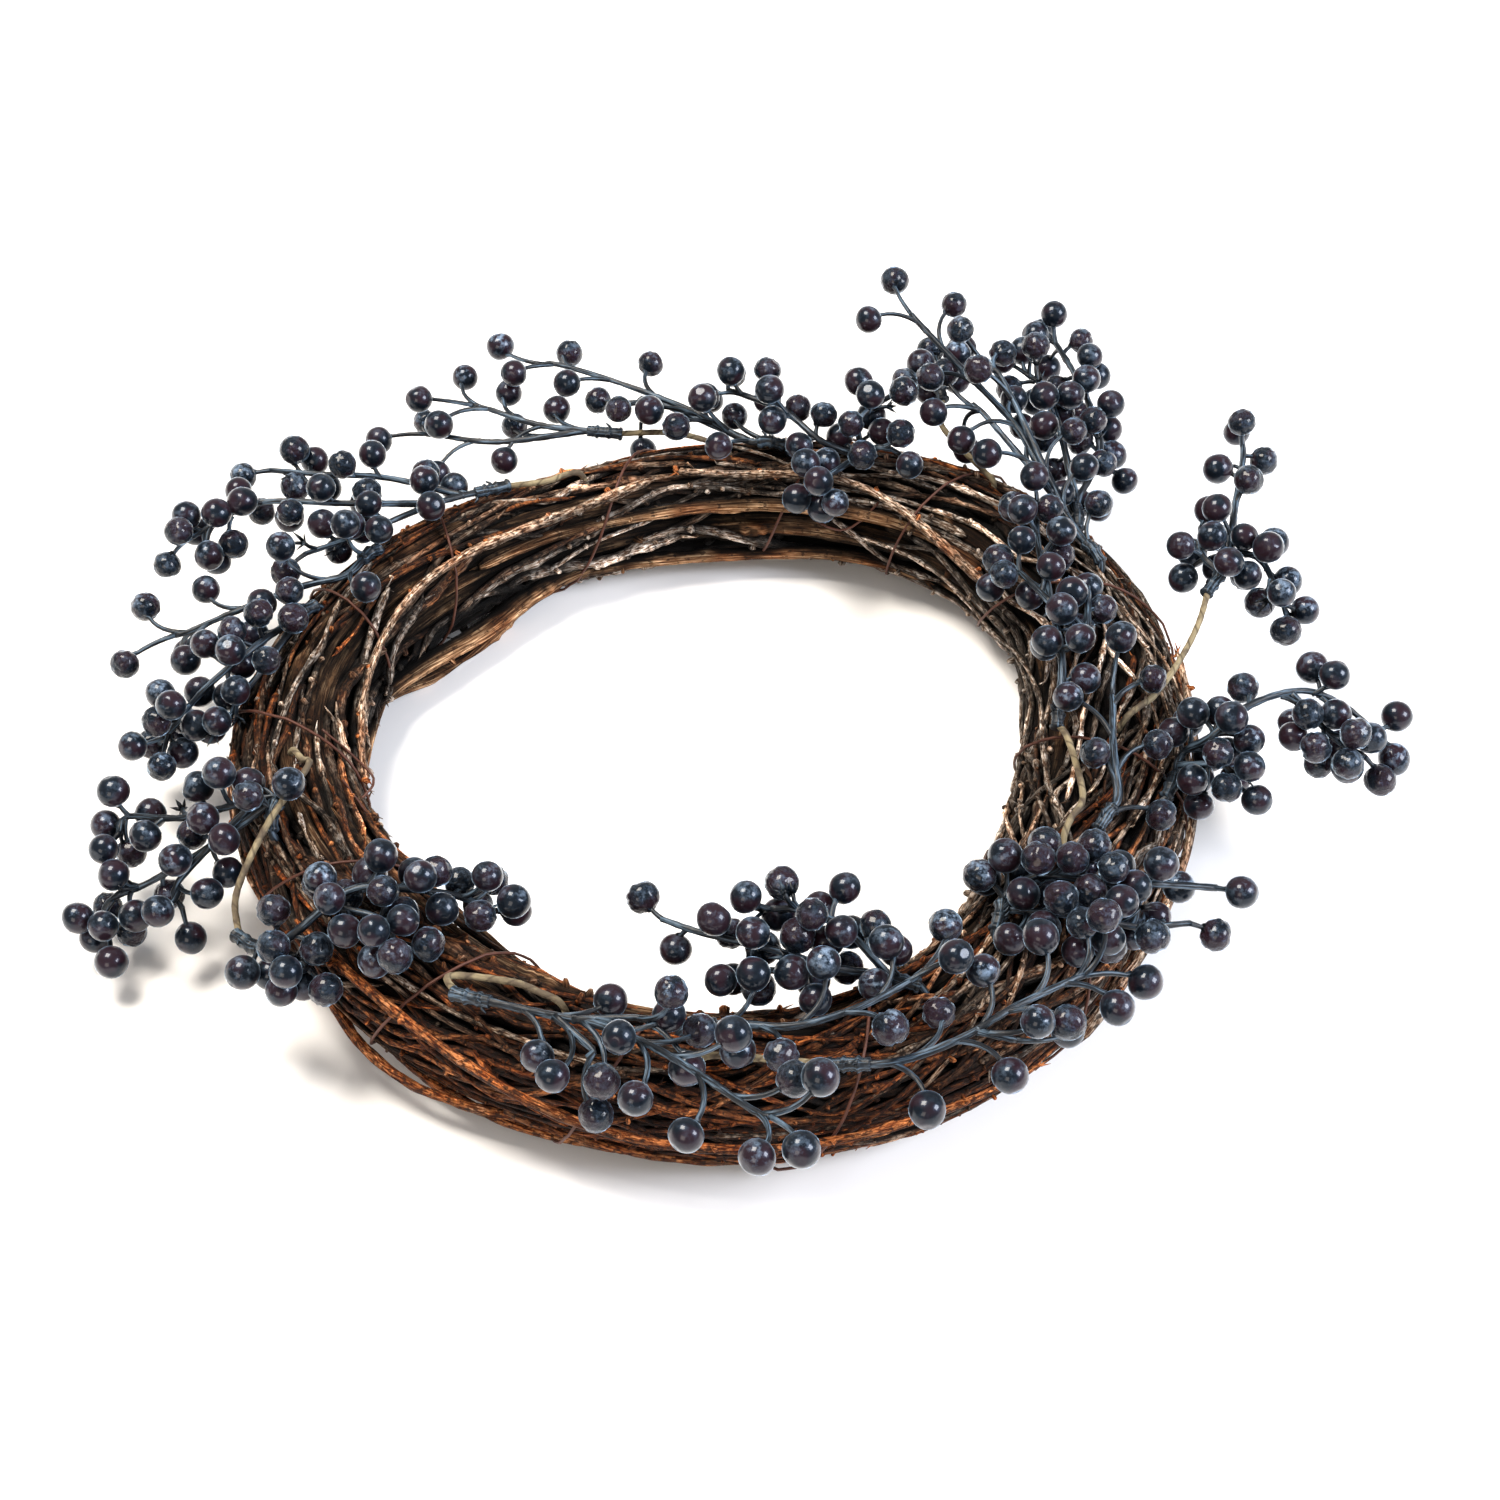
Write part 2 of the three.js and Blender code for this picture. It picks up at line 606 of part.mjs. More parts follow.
// Berry of twenty faces with its short stalk drawn out of the face that looks back at the stem
function berryGeometry({ base, centre, direction }) {
  const ball = plainGeometry(new THREE.IcosahedronGeometry(BERRY_RADIUS, 0));
  const corners = ball.getAttribute('position').count;
  const points = Array.from({ length: corners }, (_, i) => (
    new THREE.Vector3().fromBufferAttribute(ball.getAttribute('position'), i)));
  const [first, ...others] = faces(ball.getIndex());
  const back = direction.clone().negate();
  const middle = first.reduce((sum, i) => sum.add(points[i]), new THREE.Vector3()).divideScalar(3);
  const rim = first.map((i) => points[i].clone().sub(middle).setLength(PEDICEL_RADIUS).add(middle));
  const turn = new THREE.Quaternion().setFromUnitVectors(middle.clone().normalize(), back);
  points.push(...rim);
  points.forEach((point) => point.applyQuaternion(turn).add(centre));
  const length = base.distanceTo(centre) - middle.length();
  points.push(...rim.map((point) => point.clone().addScaledVector(back, length)));
  const neck = rim.map((_, k) => corners + k);
  const root = corners + rim.length;
  const index = [...others.flat(), ...collar(first, corners), ...collar(neck, root)];
  index.push(root, root + 1, root + 2);
  const geometry = new THREE.BufferGeometry().setFromPoints(points);
  geometry.setIndex(index);
  return geometry;
}

function faces(index) {
  const count = index.count / 3;
  return Array.from({ length: count }, (_, face) => [0, 1, 2].map((k) => index.getX(3 * face + k)));
}

// Band of triangles from a three-cornered opening to the three points that start at an index
function collar(opening, start) {
  return opening.flatMap((corner, k) => {
    const next = (k + 1) % 3;
    return [corner, opening[next], start + next, corner, start + next, start + k];
  });
}

function addPicks(placed) {
  const grown = PICKS.map((pick) => pickLines(pick));
  grown.forEach(({ arms, stalk }, i) => {
    const owner = PICKS[i].name;
    arms.forEach((line) => placed.push(...lineRods(line, STEM_RADIUS, STEM_TIP, owner)));
    if (stalk) placed.push(...lineRods(stalk, STEM_RADIUS, STEM_RADIUS, `${owner} stalk`));
  });
  PICKS.forEach((pick, i) => {
    const { arms, stalk } = grown[i];
    const stems = arms.map((line) => stemGeometry(line, STEM_RADIUS, STEM_TIP, THIN_SIDES));
    const berries = pickBerries(pick, arms, randomDraw(i + 1), placed);
    addPiece(`spray_${pick.name}`, fused([...stems, ...berries]), DARK_BERRY);
    if (!stalk) return;
    const wrapped = stemGeometry(stalk, STEM_RADIUS, STEM_RADIUS, STALK_SIDES);
    addPiece(`stalk_${pick.name}`, wrapped, WRAPPED_STALK);
  });
}

function pickBerries(pick, arms, draw, placed) {
  const owner = pick.name;
  const geometries = [];
  pick.arms.forEach((arm, a) => {
    for (let berry = 0; berry < arm.berries; berry += 1) {
      const grown = growBerry(arms[a], berry, arm.berries, pick.habit, owner, draw, placed);
      if (!grown) continue;
      const { base, centre } = grown;
      placed.push({ a: centre, b: centre, radius: BERRY_RADIUS, owner, kind: 'berry' });
      placed.push({ a: base, b: centre, radius: PEDICEL_RADIUS, owner, kind: 'pedicel' });
      geometries.push(berryGeometry(grown));
    }
  });
  return geometries;
}

BRANCH_PLACES.forEach((place, i) => {
  addPiece(`branch_${i + 1}`, branchGeometry(place, BRANCH_STARTS[i]), GREY_BARK);
});
addPiece('core_twigs', coreGeometry(), BROWN_BARK);

addPiece('vine_1', footedVineGeometry(), RED_BARK);
for (let turn = TURNS_PER_VINE; turn < TWIG_TURNS; turn += TURNS_PER_VINE) {
  const turns = Math.min(TURNS_PER_VINE, TWIG_TURNS - turn);
  const bark = turn % 2 ? RED_BARK : BROWN_BARK;
  addPiece(`vine_${1 + turn / TURNS_PER_VINE}`, vineGeometry(turn, turns), bark);
}

addPiece('binding_wire', stemGeometry(wirePoints(), WIRE_RADIUS, WIRE_RADIUS, THIN_SIDES), RUSTY_WIRE);

const placed = [];
LOOSE_TWIGS.forEach((twig, i) => {
  const points = loosePoints(twig);
  placed.push(...lineRods(points, LOOSE_RADIUS, LOOSE_RADIUS, 'loose twig'));
  addPiece(`loose_twig_${i + 1}`, stemGeometry(points, LOOSE_RADIUS, LOOSE_TIP, THIN_SIDES), RED_BARK);
});

addPicks(placed);

export default wreath;
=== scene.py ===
"""Twig wreath with dark berry sprays: the looks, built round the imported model.

Positions are worked out in millimetres in the model's own frame, and turned to metres where a mesh is made.
Angles are in degrees: an angle runs round the hoop from +X towards +Y, and a place runs round the hoop's
section, 0 outside, 90 on top, 180 in the hole and -90 underneath.
"""
import math

import bpy
import numpy as np
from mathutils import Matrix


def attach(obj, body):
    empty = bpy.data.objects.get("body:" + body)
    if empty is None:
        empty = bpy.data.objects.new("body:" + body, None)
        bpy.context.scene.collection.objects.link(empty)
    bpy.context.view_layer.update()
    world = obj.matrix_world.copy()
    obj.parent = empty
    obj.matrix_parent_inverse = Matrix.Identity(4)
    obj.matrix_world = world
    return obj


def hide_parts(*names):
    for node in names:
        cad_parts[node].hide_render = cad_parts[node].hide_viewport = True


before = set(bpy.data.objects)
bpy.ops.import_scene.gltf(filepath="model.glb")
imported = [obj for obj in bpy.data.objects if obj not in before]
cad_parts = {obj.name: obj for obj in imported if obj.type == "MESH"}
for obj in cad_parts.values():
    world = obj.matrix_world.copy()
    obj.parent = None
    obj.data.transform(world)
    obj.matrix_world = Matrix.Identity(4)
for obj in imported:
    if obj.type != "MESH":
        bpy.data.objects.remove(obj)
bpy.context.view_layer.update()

MM = 0.001

# Hoop of wound stems
RING_CENTRE = (-12.19, 2.31)
RING_RADIUS = 148.5
OVAL = 4.2
CORNERS = 6.4
CORNER_TURN = 49
HALF_WIDTH = 24.9
WIDER_RIGHT = 4.7
WIDER_TURN = 34
SECOND_WIDENING = 2.4
SECOND_TURN = 20
HALF_HEIGHT = 24
RING_HEIGHT = 26.4
RING_STEP = 15

# Outer winding, binding wire, loose stems and feet
TWIG_TURNS = 11
TWIG_PITCH = 18
TWIG_START = -99
GAP = 0.3
WIRE_RADIUS = 0.65
WIRE_WRAPS = (5, 44, 61, 84, 122, 149, 165, 199, 222, 248, 272, 304, 340)
WIRE_END = 363
OVER_WIRE = 2 * GAP + 2 * WIRE_RADIUS
LOOSE_RADIUS = 1.9
LOOSE_LIFT = OVER_WIRE + 1.1 * LOOSE_RADIUS
LOOSE_SWAY = 5
LOOSE_WAVE = 9
LOOSE_STEMS = (
    (214, 306, 38, 4, 0),
    (312, 372, -6, 34, 0),
    (100, 190, 118, 160, 0.6),
    (36, 96, 150, 112, 0.4),
    (96, 196, -6, -44, 0),
)
FOOT_RADIUS = 3.9
FOOT_CUT = 1
FOOT_ANGLES = (90, 210, 330)

# Thick branches on the hole's side
BRANCH_RADIUS = 6.6
BRANCH_PLACES = (132, 180, 228)
BRANCH_STARTS = (30, 255, 285)
BRANCH_SPAN = 345
BRANCH_DEPTH = 2.2
BRANCH_STEP = 1.05
KNOT_GAP = 55
SHOOT_GAP = 80

# Thinner branches beside the three thick ones: start, span, place, radius, depth and how far they sag
SIDE_BRANCHES = (
    ((132, 110, 90, 3.4, 1.0, 0), (204, 74, 126, 4.6, 0.2, 1), (150, 190, 108, 3.2, 2.2, 0),
     (40, 95, 146, 2.9, -0.8, 2)),
    ((70, 250, 156, 3.8, 3.4, 0), (300, 120, 158, 3.4, 2.8, 0), (112, 62, 202, 4.2, -1.0, 11),
     (52, 70, 206, 3.0, -1.0, 3), (150, 46, 212, 3.0, -1.0, 4), (192, 58, 176, 2.8, -1.0, 4)),
    ((110, 300, 205, 4.0, 3.2, 0), (200, 280, 250, 3.8, 2.6, 0), (118, 50, 222, 3.4, -1.0, 13)),
)

# Berry picks
BERRY_RADIUS = 5.5
STEM_RADIUS = 1.7
STEM_TIP = 1.1
PEDICEL_RADIUS = 0.8
CLEAR = 0.35
ARM_SIDES = 12
ARM_THINNER = 0.88
TAPE_THINNER = 0.7
COLLAR_LENGTH = 11.5
COLLAR_RINGS = (0.8, 5.5, 10.2)
EMPTY_STARS = 4
FOOT_STEP = 7
STEM_LIFT = OVER_WIRE + STEM_RADIUS
COLLAR_GAP = 0.9
FIRST_BERRY = 0.16
LAST_BERRY = 0.99
FREE_STRETCH = (0.3, 0.4, 0.5, 0.6, 0.7, 0.8, 0.9)
OWN_STEM_OVERLAP = 1
TRIES = 30
WIDER_EACH_TRY = 12
TIP_TRIES = 8
TIP_LEAN = 25
SHORTER_SHARE = 0.4
LONGEST_CUT = 0.7
FULL = {"reach": 10, "spread": 3, "lean": 66, "turn": 137.5, "wander": 40, "past_tip": 8}
OPEN = {"reach": 20, "spread": 4, "lean": 52, "turn": 180, "wander": 55, "past_tip": 17}

# About how many berries each pick has in the photograph, and the stretch of its arms that has most of them
BERRIES_SEEN = {
    "a": (34, 0.35, 0.85), "b": (9, 0.3, 1.0), "c": (24, 0.3, 1.0), "d": (28, 0.1, 0.9),
    "e": (34, 0.4, 1.0), "f": (10, 0.3, 1.0), "g": (14, 0.3, 1.0), "h": (27, 0.5, 1.0),
    "i": (18, 0.4, 0.9), "j": (33, 0.2, 0.9), "k": (20, 0.3, 1.0), "l": (6, 0.3, 1.0),
    "m": (24, 0.0, 0.5), "n": (34, 0.2, 0.8), "o": (32, 0.1, 0.65), "p": (12, 0.3, 1.0),
    "q": (8, 0.3, 1.0), "r": (26, 0.1, 0.9), "s": (17, 0.3, 1.0), "t": (7, 0.3, 1.0),
}

# The berries that the solids have no room for: how they grow, how often one is tried, and how close they lie
MORE_SEED = 500
MORE_TRIES = 8
MORE_ROOM = {"reach": 9, "spread": 9}
MORE_LEAN = 40
MORE_LEAN_SPREAD = 60
MORE_OVERLAP = 0.3
MORE_OVER_RING = 0.4

# Each pick: name, habit, foot (angle, place), wrapped stalk, and its arms. An arm holds how many berries the
# solids have, where it leaves the first arm (0 for that arm itself), and its path: angle, distance, height
PICKS = [
    ("a", FULL, (112, 88), [(118, 139, 54)], [
        (5, 0, [(124, 147, 52), (134, 153, 54), (147, 162, 56), (155, 179, 54)]),
        (8, 0.35, [(144, 174, 60), (149, 204, 58), (154, 216, 54), (158, 227, 49)]),
        (5, 0.2, [(136, 176, 56), (142, 195, 60), (145, 221, 57)]),
    ]),
    ("b", OPEN, (146, 75), [], [
        (8, 0, [(154, 154, 54), (158, 168, 52), (163, 189, 46), (166, 203, 42), (168, 218, 40)]),
    ]),
    ("c", FULL, (160, 70), [], [
        (9, 0, [(165, 164, 52), (172, 171, 56), (177, 185, 50), (179, 198, 36), (179, 205, 24)]),
        (6, 0.15, [(173, 165, 50), (177, 170, 42), (181, 180, 34)]),
    ]),
    ("d", FULL, (201, 50), [], [
        (7, 0, [(197, 158, 50), (196, 172, 50), (194, 192, 42), (191, 211, 36), (194, 219, 31)]),
        (7, 0.3, [(198, 186, 38), (198, 207, 28), (198, 223, 22), (203, 227, 12)]),
        (3, 0.42, [(200, 198, 32), (204, 200, 22)]),
    ]),
    ("e", FULL, (189, 100), [(193, 146, 54), (201, 164, 53), (207, 182, 44)], [
        (10, 0, [(212, 188, 40), (215, 186, 43), (218, 179, 52), (219, 156, 62),
            (223, 141, 61), (228, 127, 55), (235, 120, 47)]),
        (4, 0.05, [(218, 180, 46), (224, 176, 42)]),
        (3, 0.45, [(225, 154, 60), (230, 158, 54)]),
    ]),
    ("f", OPEN, (88, 86), [(96, 154, 54)], [
        (6, 0, [(104, 160, 52), (113, 174, 52), (118, 194, 52), (122, 209, 53)]),
        (4, 0.12, [(119, 177, 48), (124, 196, 45), (128, 214, 43)]),
    ]),
    ("g", OPEN, (79, 82), [], [
        (9, 0, [(85, 149, 54), (93, 164, 57), (102, 185, 58), (108, 204, 57), (113, 214, 55)]),
        (3, 0.3, [(98, 173, 56), (104, 176, 54)]),
    ]),
    ("h", FULL, (66, 96), [], [
        (8, 0, [(68, 148, 56), (73, 145, 62), (79, 154, 66), (85, 162, 66), (90, 171, 64)]),
        (4, 0.12, [(68, 155, 68), (65, 179, 70)]),
        (3, 0.05, [(64, 149, 62), (60, 157, 58)]),
        (3, 0.12, [(69, 128, 60), (74, 122, 56)]),
    ]),
    ("i", OPEN, (28, 70), [], [
        (9, 0, [(32, 168, 52), (40, 171, 60), (49, 183, 68),
            (58, 188, 80), (65, 197, 88), (70, 207, 94)]),
        (3, 0.42, [(54, 181, 70), (59, 181, 72)]),
        (4, 0.36, [(53, 192, 78), (60, 200, 84)]),
    ]),
    ("j", FULL, (36, 52), [], [
        (11, 0, [(39, 184, 50), (42, 207, 56), (48, 226, 60), (54, 245, 60), (58, 260, 58)]),
        (4, 0.3, [(50, 212, 62), (57, 228, 62)]),
    ]),
    ("k", FULL, (332, 101), [(340, 136, 54), (351, 127, 54)], [
        (9, 0, [(355, 123, 54), (5, 126, 62), (19, 132, 62), (33, 147, 60), (42, 170, 58)]),
        (2, 0.5, [(28, 131, 60), (32, 131, 58)]),
        (3, 0.3, [(9, 136, 66), (22, 151, 62)]),
    ]),
    ("l", OPEN, (335, 74), [], [
        (6, 0, [(341, 148, 55), (347, 143, 60), (356, 142, 60), (5, 144, 58)]),
    ]),
    ("m", FULL, (357, 80), [(2, 160, 52), (8, 173, 52), (12, 183, 56)], [
        (8, 0, [(16, 192, 60), (19, 204, 62), (26, 223, 62), (32, 246, 60), (36, 261, 58)]),
        (4, 0.15, [(21, 197, 62), (27, 210, 60)]),
        (6, 0.3, [(19, 219, 58), (14, 218, 55), (12, 219, 54)]),
    ]),
    ("n", FULL, (346, 44), [], [
        (11, 0, [(353, 168, 48), (352, 176, 60), (355, 189, 68), (358, 208, 66),
            (358, 223, 60), (357, 235, 52), (356, 245, 47)]),
        (4, 0.2, [(349, 182, 56), (347, 190, 48)]),
        (3, 0.6, [(355, 221, 54), (354, 239, 45)]),
    ]),
    ("o", FULL, (311, 100), [], [
        (9, 0, [(316, 135, 56), (320, 142, 62), (323, 159, 64), (328, 176, 60), (333, 197, 53)]),
        (6, 0.2, [(318, 160, 60), (322, 176, 56), (329, 193, 48)]),
    ]),
    ("p", OPEN, (269, 74), [(277, 163, 54)], [
        (9, 0, [(283, 168, 54), (289, 175, 58), (296, 177, 62),
            (302, 176, 64), (309, 178, 64), (316, 183, 61)]),
        (2, 0.45, [(300, 182, 60), (303, 188, 56)]),
    ]),
    ("q", OPEN, (266, 101), [], [
        (8, 0, [(272, 149, 56), (279, 155, 60), (286, 155, 63), (293, 152, 64), (303, 146, 63)]),
    ]),
    ("r", FULL, (297, 112), [], [
        (9, 0, [(293, 138, 54), (286, 134, 60), (279, 127, 64), (268, 118, 64), (257, 109, 61)]),
        (4, 0.25, [(289, 125, 68), (283, 116, 70), (275, 113, 70)]),
        (2, 0.4, [(276, 131, 60), (271, 131, 59)]),
    ]),
    ("s", OPEN, (250, 94), [(243, 146, 54), (236, 154, 54)], [
        (11, 0, [(239, 160, 56), (249, 158, 60), (258, 162, 66),
            (266, 179, 76), (273, 207, 88), (277, 220, 94)]),
        (3, 0.3, [(261, 158, 68), (266, 165, 70)]),
        (3, 0.25, [(257, 169, 62), (255, 176, 58)]),
    ]),
    ("t", FULL, (49, 72), [(59, 179, 57)], [
        (5, 0, [(61, 191, 62), (63, 199, 66), (61, 211, 70)]),
    ]),
]

UP = np.array((0.0, 0.0, 1.0))


# Shape of the hoop

def ring_radius(angle):
    """Distance from the centre to the section's middle: an oval with three soft corners."""
    a = np.radians(angle)
    return RING_RADIUS + OVAL * np.sin(2 * a) + CORNERS * np.sin(3 * a - math.radians(CORNER_TURN))


def half_width(angle):
    """Half the section's width, which is larger at the right."""
    widening = WIDER_RIGHT * np.cos(np.radians(np.asarray(angle) + WIDER_TURN))
    return HALF_WIDTH + widening + SECOND_WIDENING * np.cos(np.radians(2 * np.asarray(angle) - SECOND_TURN))


def polar(angle, radius, height):
    """Points from their angle and distance round the hoop's centre, and their height."""
    a = np.radians(angle)
    x = RING_CENTRE[0] + radius * np.cos(a)
    y = RING_CENTRE[1] + radius * np.sin(a)
    return np.stack(np.broadcast_arrays(x, y, height), axis=-1).astype(float)


def on_hoop(angle, place, lift):
    """Points on the hoop's skin, raised by lift."""
    p = np.radians(place)
    out = (half_width(angle) + lift) * np.cos(p)
    return polar(angle, ring_radius(angle) + out, RING_HEIGHT + (HALF_HEIGHT + lift) * np.sin(p))


def on_facets(angle, place, lift):
    """The same point on the straight stretches that the solids are made of."""
    station = math.floor(angle / RING_STEP) * RING_STEP
    first = on_hoop(station, place, lift)
    return first + (on_hoop(station + RING_STEP, place, lift) - first) * (angle - station) / RING_STEP


def outwards(angle, place):
    """Direction straight out of the skin."""
    p = np.radians(place)
    a = np.radians(angle)
    out = np.cos(p) / half_width(angle)
    up = np.sin(p) / HALF_HEIGHT
    return unit(np.stack(np.broadcast_arrays(out * np.cos(a), out * np.sin(a), up), axis=-1))


def section_place(point, lift):
    """Angle round the hoop, offsets from the section's middle, and how far out the point is on its oval."""
    x = point[0] - RING_CENTRE[0]
    y = point[1] - RING_CENTRE[1]
    angle = math.degrees(math.atan2(y, x))
    out = math.hypot(x, y) - ring_radius(angle)
    up = point[2] - RING_HEIGHT
    return angle, out, up, math.hypot(out / (half_width(angle) + lift), up / (HALF_HEIGHT + lift))


def pushed_out(point, lift):
    """The point, or where it comes out of the raised skin if it lies under it."""
    angle, out, up, scale = section_place(point, lift)
    if scale >= 1:
        return point
    return polar(angle, ring_radius(angle) + out / scale, RING_HEIGHT + up / scale)


def ridge_place(angle, wanted):
    """Place of the solids' ridge that lies nearest to the place wanted."""
    first = TWIG_START + TWIG_PITCH * (angle % 360) / 360
    turn = math.floor((wanted - first) / TWIG_PITCH + 0.5)
    return first + TWIG_PITCH * min(max(turn, 0), TWIG_TURNS - 1)


# Lines and forms

def unit(vector):
    """The same direction with length 1."""
    return vector / np.linalg.norm(vector, axis=-1, keepdims=True)


def sideways(tangent):
    """A level direction square to the tangent."""
    side = np.cross(tangent, UP)
    if np.linalg.norm(side) < 0.1:
        side = np.array((1.0, 0.0, 0.0))
    return unit(side)


def rounded(points, step):
    """A smooth line through the points, with a point about every step."""
    points = np.asarray(points, float)
    before = np.vstack([2 * points[0] - points[1], points[:-1]])
    after = np.vstack([points[1:], 2 * points[-1] - points[-2]])
    slopes = (after - before) / 2
    line = []
    for i in range(len(points) - 1):
        a, b = points[i], points[i + 1]
        count = max(1, round(float(np.linalg.norm(b - a)) / step))
        t = np.arange(count)[:, None] / count
        line.append((2 * t**3 - 3 * t**2 + 1) * a + (t**3 - 2 * t**2 + t) * slopes[i]
                    + (3 * t**2 - 2 * t**3) * b + (t**3 - t**2) * slopes[i + 1])
    return np.vstack(line + [points[-1:]])


def travelled(path):
    """Length along a path up to each of its points."""
    return np.concatenate([[0.0], np.cumsum(np.linalg.norm(np.diff(path, axis=0), axis=1))])


def carried(path, start=None):
    """Tangent, normal and side at each point, turned as little as possible along the path."""
    tangent = unit(np.gradient(path, axis=0))
    normal = np.empty_like(tangent)
    last = sideways(tangent[0]) if start is None else np.asarray(start, float)
    for i, t in enumerate(tangent):
        last = unit(last - t * (last @ t))
        normal[i] = last
    return tangent, normal, np.cross(tangent, normal)


class Form:
    """Points, faces and surface marks of one piece, gathered before its mesh is made."""

    def __init__(self):
        self.points = []
        self.faces = []
        self.marks = []
        self.tones = []
        self.count = 0

    def add(self, points, faces, marks, tone=1.0):
        for face in faces:
            self.faces.extend((np.asarray(face) + self.count).tolist())
        self.points.append(np.asarray(points, float))
        self.marks.append(np.broadcast_to(np.asarray(marks, float), (len(points), 3)))
        self.tones.append(np.broadcast_to(np.asarray(tone, float), (len(points),)))
        self.count += len(points)


# How much light the painted shade leaves on the side of a stem that is turned from the hoop's outside
SHADED = 0.3

# The hoop's skin in cells of about 0.7 mm, and how dark the painted shade makes a point deeper between the
# stems
AROUND_HOOP = 1320
AROUND_SECTION = 216
STEM_REACH = 3
SOFT_REACH = 4
SHADE_DEPTH = 0.9
FULL_LIGHT = 0.4
DARKEST = 0.015
# Painted light: how much lighter a stem that stands above those near it is drawn
BRIGHTEST = 2.4


def skin_cells(points):
    """The cell of the hoop's skin that each point lies over, and its height over the skin."""
    x, y = points[:, 0] - RING_CENTRE[0], points[:, 1] - RING_CENTRE[1]
    angle = np.degrees(np.arctan2(y, x)) % 360
    out = (np.hypot(x, y) - ring_radius(angle)) / half_width(angle)
    up = (points[:, 2] - RING_HEIGHT) / HALF_HEIGHT
    place = np.degrees(np.arctan2(up, out)) % 360
    row = (angle / 360 * AROUND_HOOP).astype(int) % AROUND_HOOP
    column = (place / 360 * AROUND_SECTION).astype(int) % AROUND_SECTION
    return (row, column), (np.hypot(out, up) - 1) * HALF_HEIGHT


def around(grid, reach, axis):
    """The grid shifted by every step up to reach, along one axis."""
    return np.stack([np.roll(grid, step, axis) for step in range(-reach, reach + 1)])


def stem_relief(forms):
    """Height of the outermost stem over each cell, softened over a few millimetres."""
    relief = np.full((AROUND_HOOP, AROUND_SECTION), -HALF_HEIGHT / 2)
    for form in forms:
        cells, height = skin_cells(np.vstack(form.points))
        np.maximum.at(relief, cells, height)
    relief = around(relief, STEM_REACH, 0).max(axis=0)
    relief = around(relief, 1, 1).max(axis=0)
    for axis in (0, 1, 0, 1):
        relief = around(relief, SOFT_REACH, axis).mean(axis=0)
    return relief


def shade_between(form, relief):
    """Painted shade and light: darkens points lying under the stems near them, and lightens those above."""
    cells, height = skin_cells(np.vstack(form.points))
    shade = np.exp((height - relief[cells] - FULL_LIGHT) / SHADE_DEPTH)
    form.tones = [np.concatenate(form.tones) * np.clip(shade, DARKEST, BRIGHTEST)]


def tube_faces(count, sides):
    """Walls between the rings of a tube, and its two fans of end faces."""
    i, j = np.meshgrid(np.arange(count - 1), np.arange(sides), indexing="ij")
    a = (i * sides + j).ravel()
    b = (i * sides + (j + 1) % sides).ravel()
    walls = np.stack([a, b, b + sides, a + sides], axis=1)
    j = np.arange(sides)
    after = (j + 1) % sides
    tail = (count - 1) * sides
    first_cap = np.stack([np.full(sides, count * sides), after, j], axis=1)
    last_cap = np.stack([np.full(sides, count * sides + 1), tail + j, tail + after], axis=1)
    return walls, np.vstack([first_cap, last_cap])


def tube(form, path, radius, sides, tint=0.0, tone=1.0, start=None, offset=0.0, out=None):
    """Adds a closed tube round a path. The radius is one number, one a point, or one a corner.

    Its marks are millimetres round it, millimetres along it, and its tint. Where out is given, painted shade
    darkens the tone on the side turned from it.
    """
    count = len(path)
    tangent, normal, side = carried(path, start)
    turn = 2 * np.pi * np.arange(sides) / sides
    radius = np.asarray(radius, float)
    if radius.ndim == 1:
        radius = radius[:, None]
    radius = np.broadcast_to(radius, (count, sides))
    spokes = normal[:, None] * np.cos(turn)[None, :, None] + side[:, None] * np.sin(turn)[None, :, None]
    points = path[:, None] + radius[..., None] * spokes
    length = travelled(path) + offset
    marks = np.empty((count, sides, 3))
    marks[..., 0] = (np.abs(2 * np.arange(sides) / sides - 1) * np.pi * radius.mean())[None, :]
    marks[..., 1] = length[:, None]
    marks[..., 2] = tint
    tone = np.asarray(tone, float)
    tone = np.broadcast_to(tone[:, None] if tone.ndim == 1 else tone, (count, sides))
    # Painted shade on the side of the tube turned from out
    if out is not None:
        facing = np.einsum("ijk,ik->ij", spokes, np.broadcast_to(out, path.shape))
        tone = tone * (SHADED + (1 - SHADED) * np.clip(facing, 0, 1))
    end_marks = np.array([[0, length[0], tint], [0, length[-1], tint]], float)
    form.add(np.vstack([points.reshape(-1, 3), path[0], path[-1]]), tube_faces(count, sides),
             np.vstack([marks.reshape(-1, 3), end_marks]),
             np.append(tone.ravel(), tone[[0, -1]].mean(axis=1)))


def piece(name, form, material, slot, *nodes):
    """Makes the mesh of one piece, and says what it rides on, stands for and takes its finish from."""
    points = np.vstack(form.points)
    points[:, 2] = np.maximum(points[:, 2], 0)
    mesh = bpy.data.meshes.new(name)
    mesh.from_pydata((points * MM).tolist(), [], form.faces)
    mesh.polygons.foreach_set("use_smooth", np.ones(len(mesh.polygons), dtype=bool))
    marks = mesh.attributes.new("marks", "FLOAT_VECTOR", "POINT")
    marks.data.foreach_set("vector", np.vstack(form.marks).astype(np.float32).ravel())
    # The tone carries the piece's own lightness with any painted shade and painted light put on it
    tones = mesh.attributes.new("tone", "FLOAT", "POINT")
    tones.data.foreach_set("value", np.concatenate(form.tones).astype(np.float32))
    mesh.materials.append(material)
    made = bpy.data.objects.new(name, mesh)
    bpy.context.scene.collection.objects.link(made)
    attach(made, "root")
    if nodes:
        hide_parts(*nodes)
    return made


# Materials

# How fast the streaks change with a stem's tint, so that no two stems have the same
STREAKS_BY_TINT = 37.0


def linear(colour):
    """An sRGB hex colour as the linear red, green, blue and alpha that a shader takes."""
    parts = [int(colour[i:i + 2], 16) / 255 for i in (1, 3, 5)]
    return [c / 12.92 if c <= 0.04045 else ((c + 0.055) / 1.055) ** 2.4 for c in parts] + [1.0]


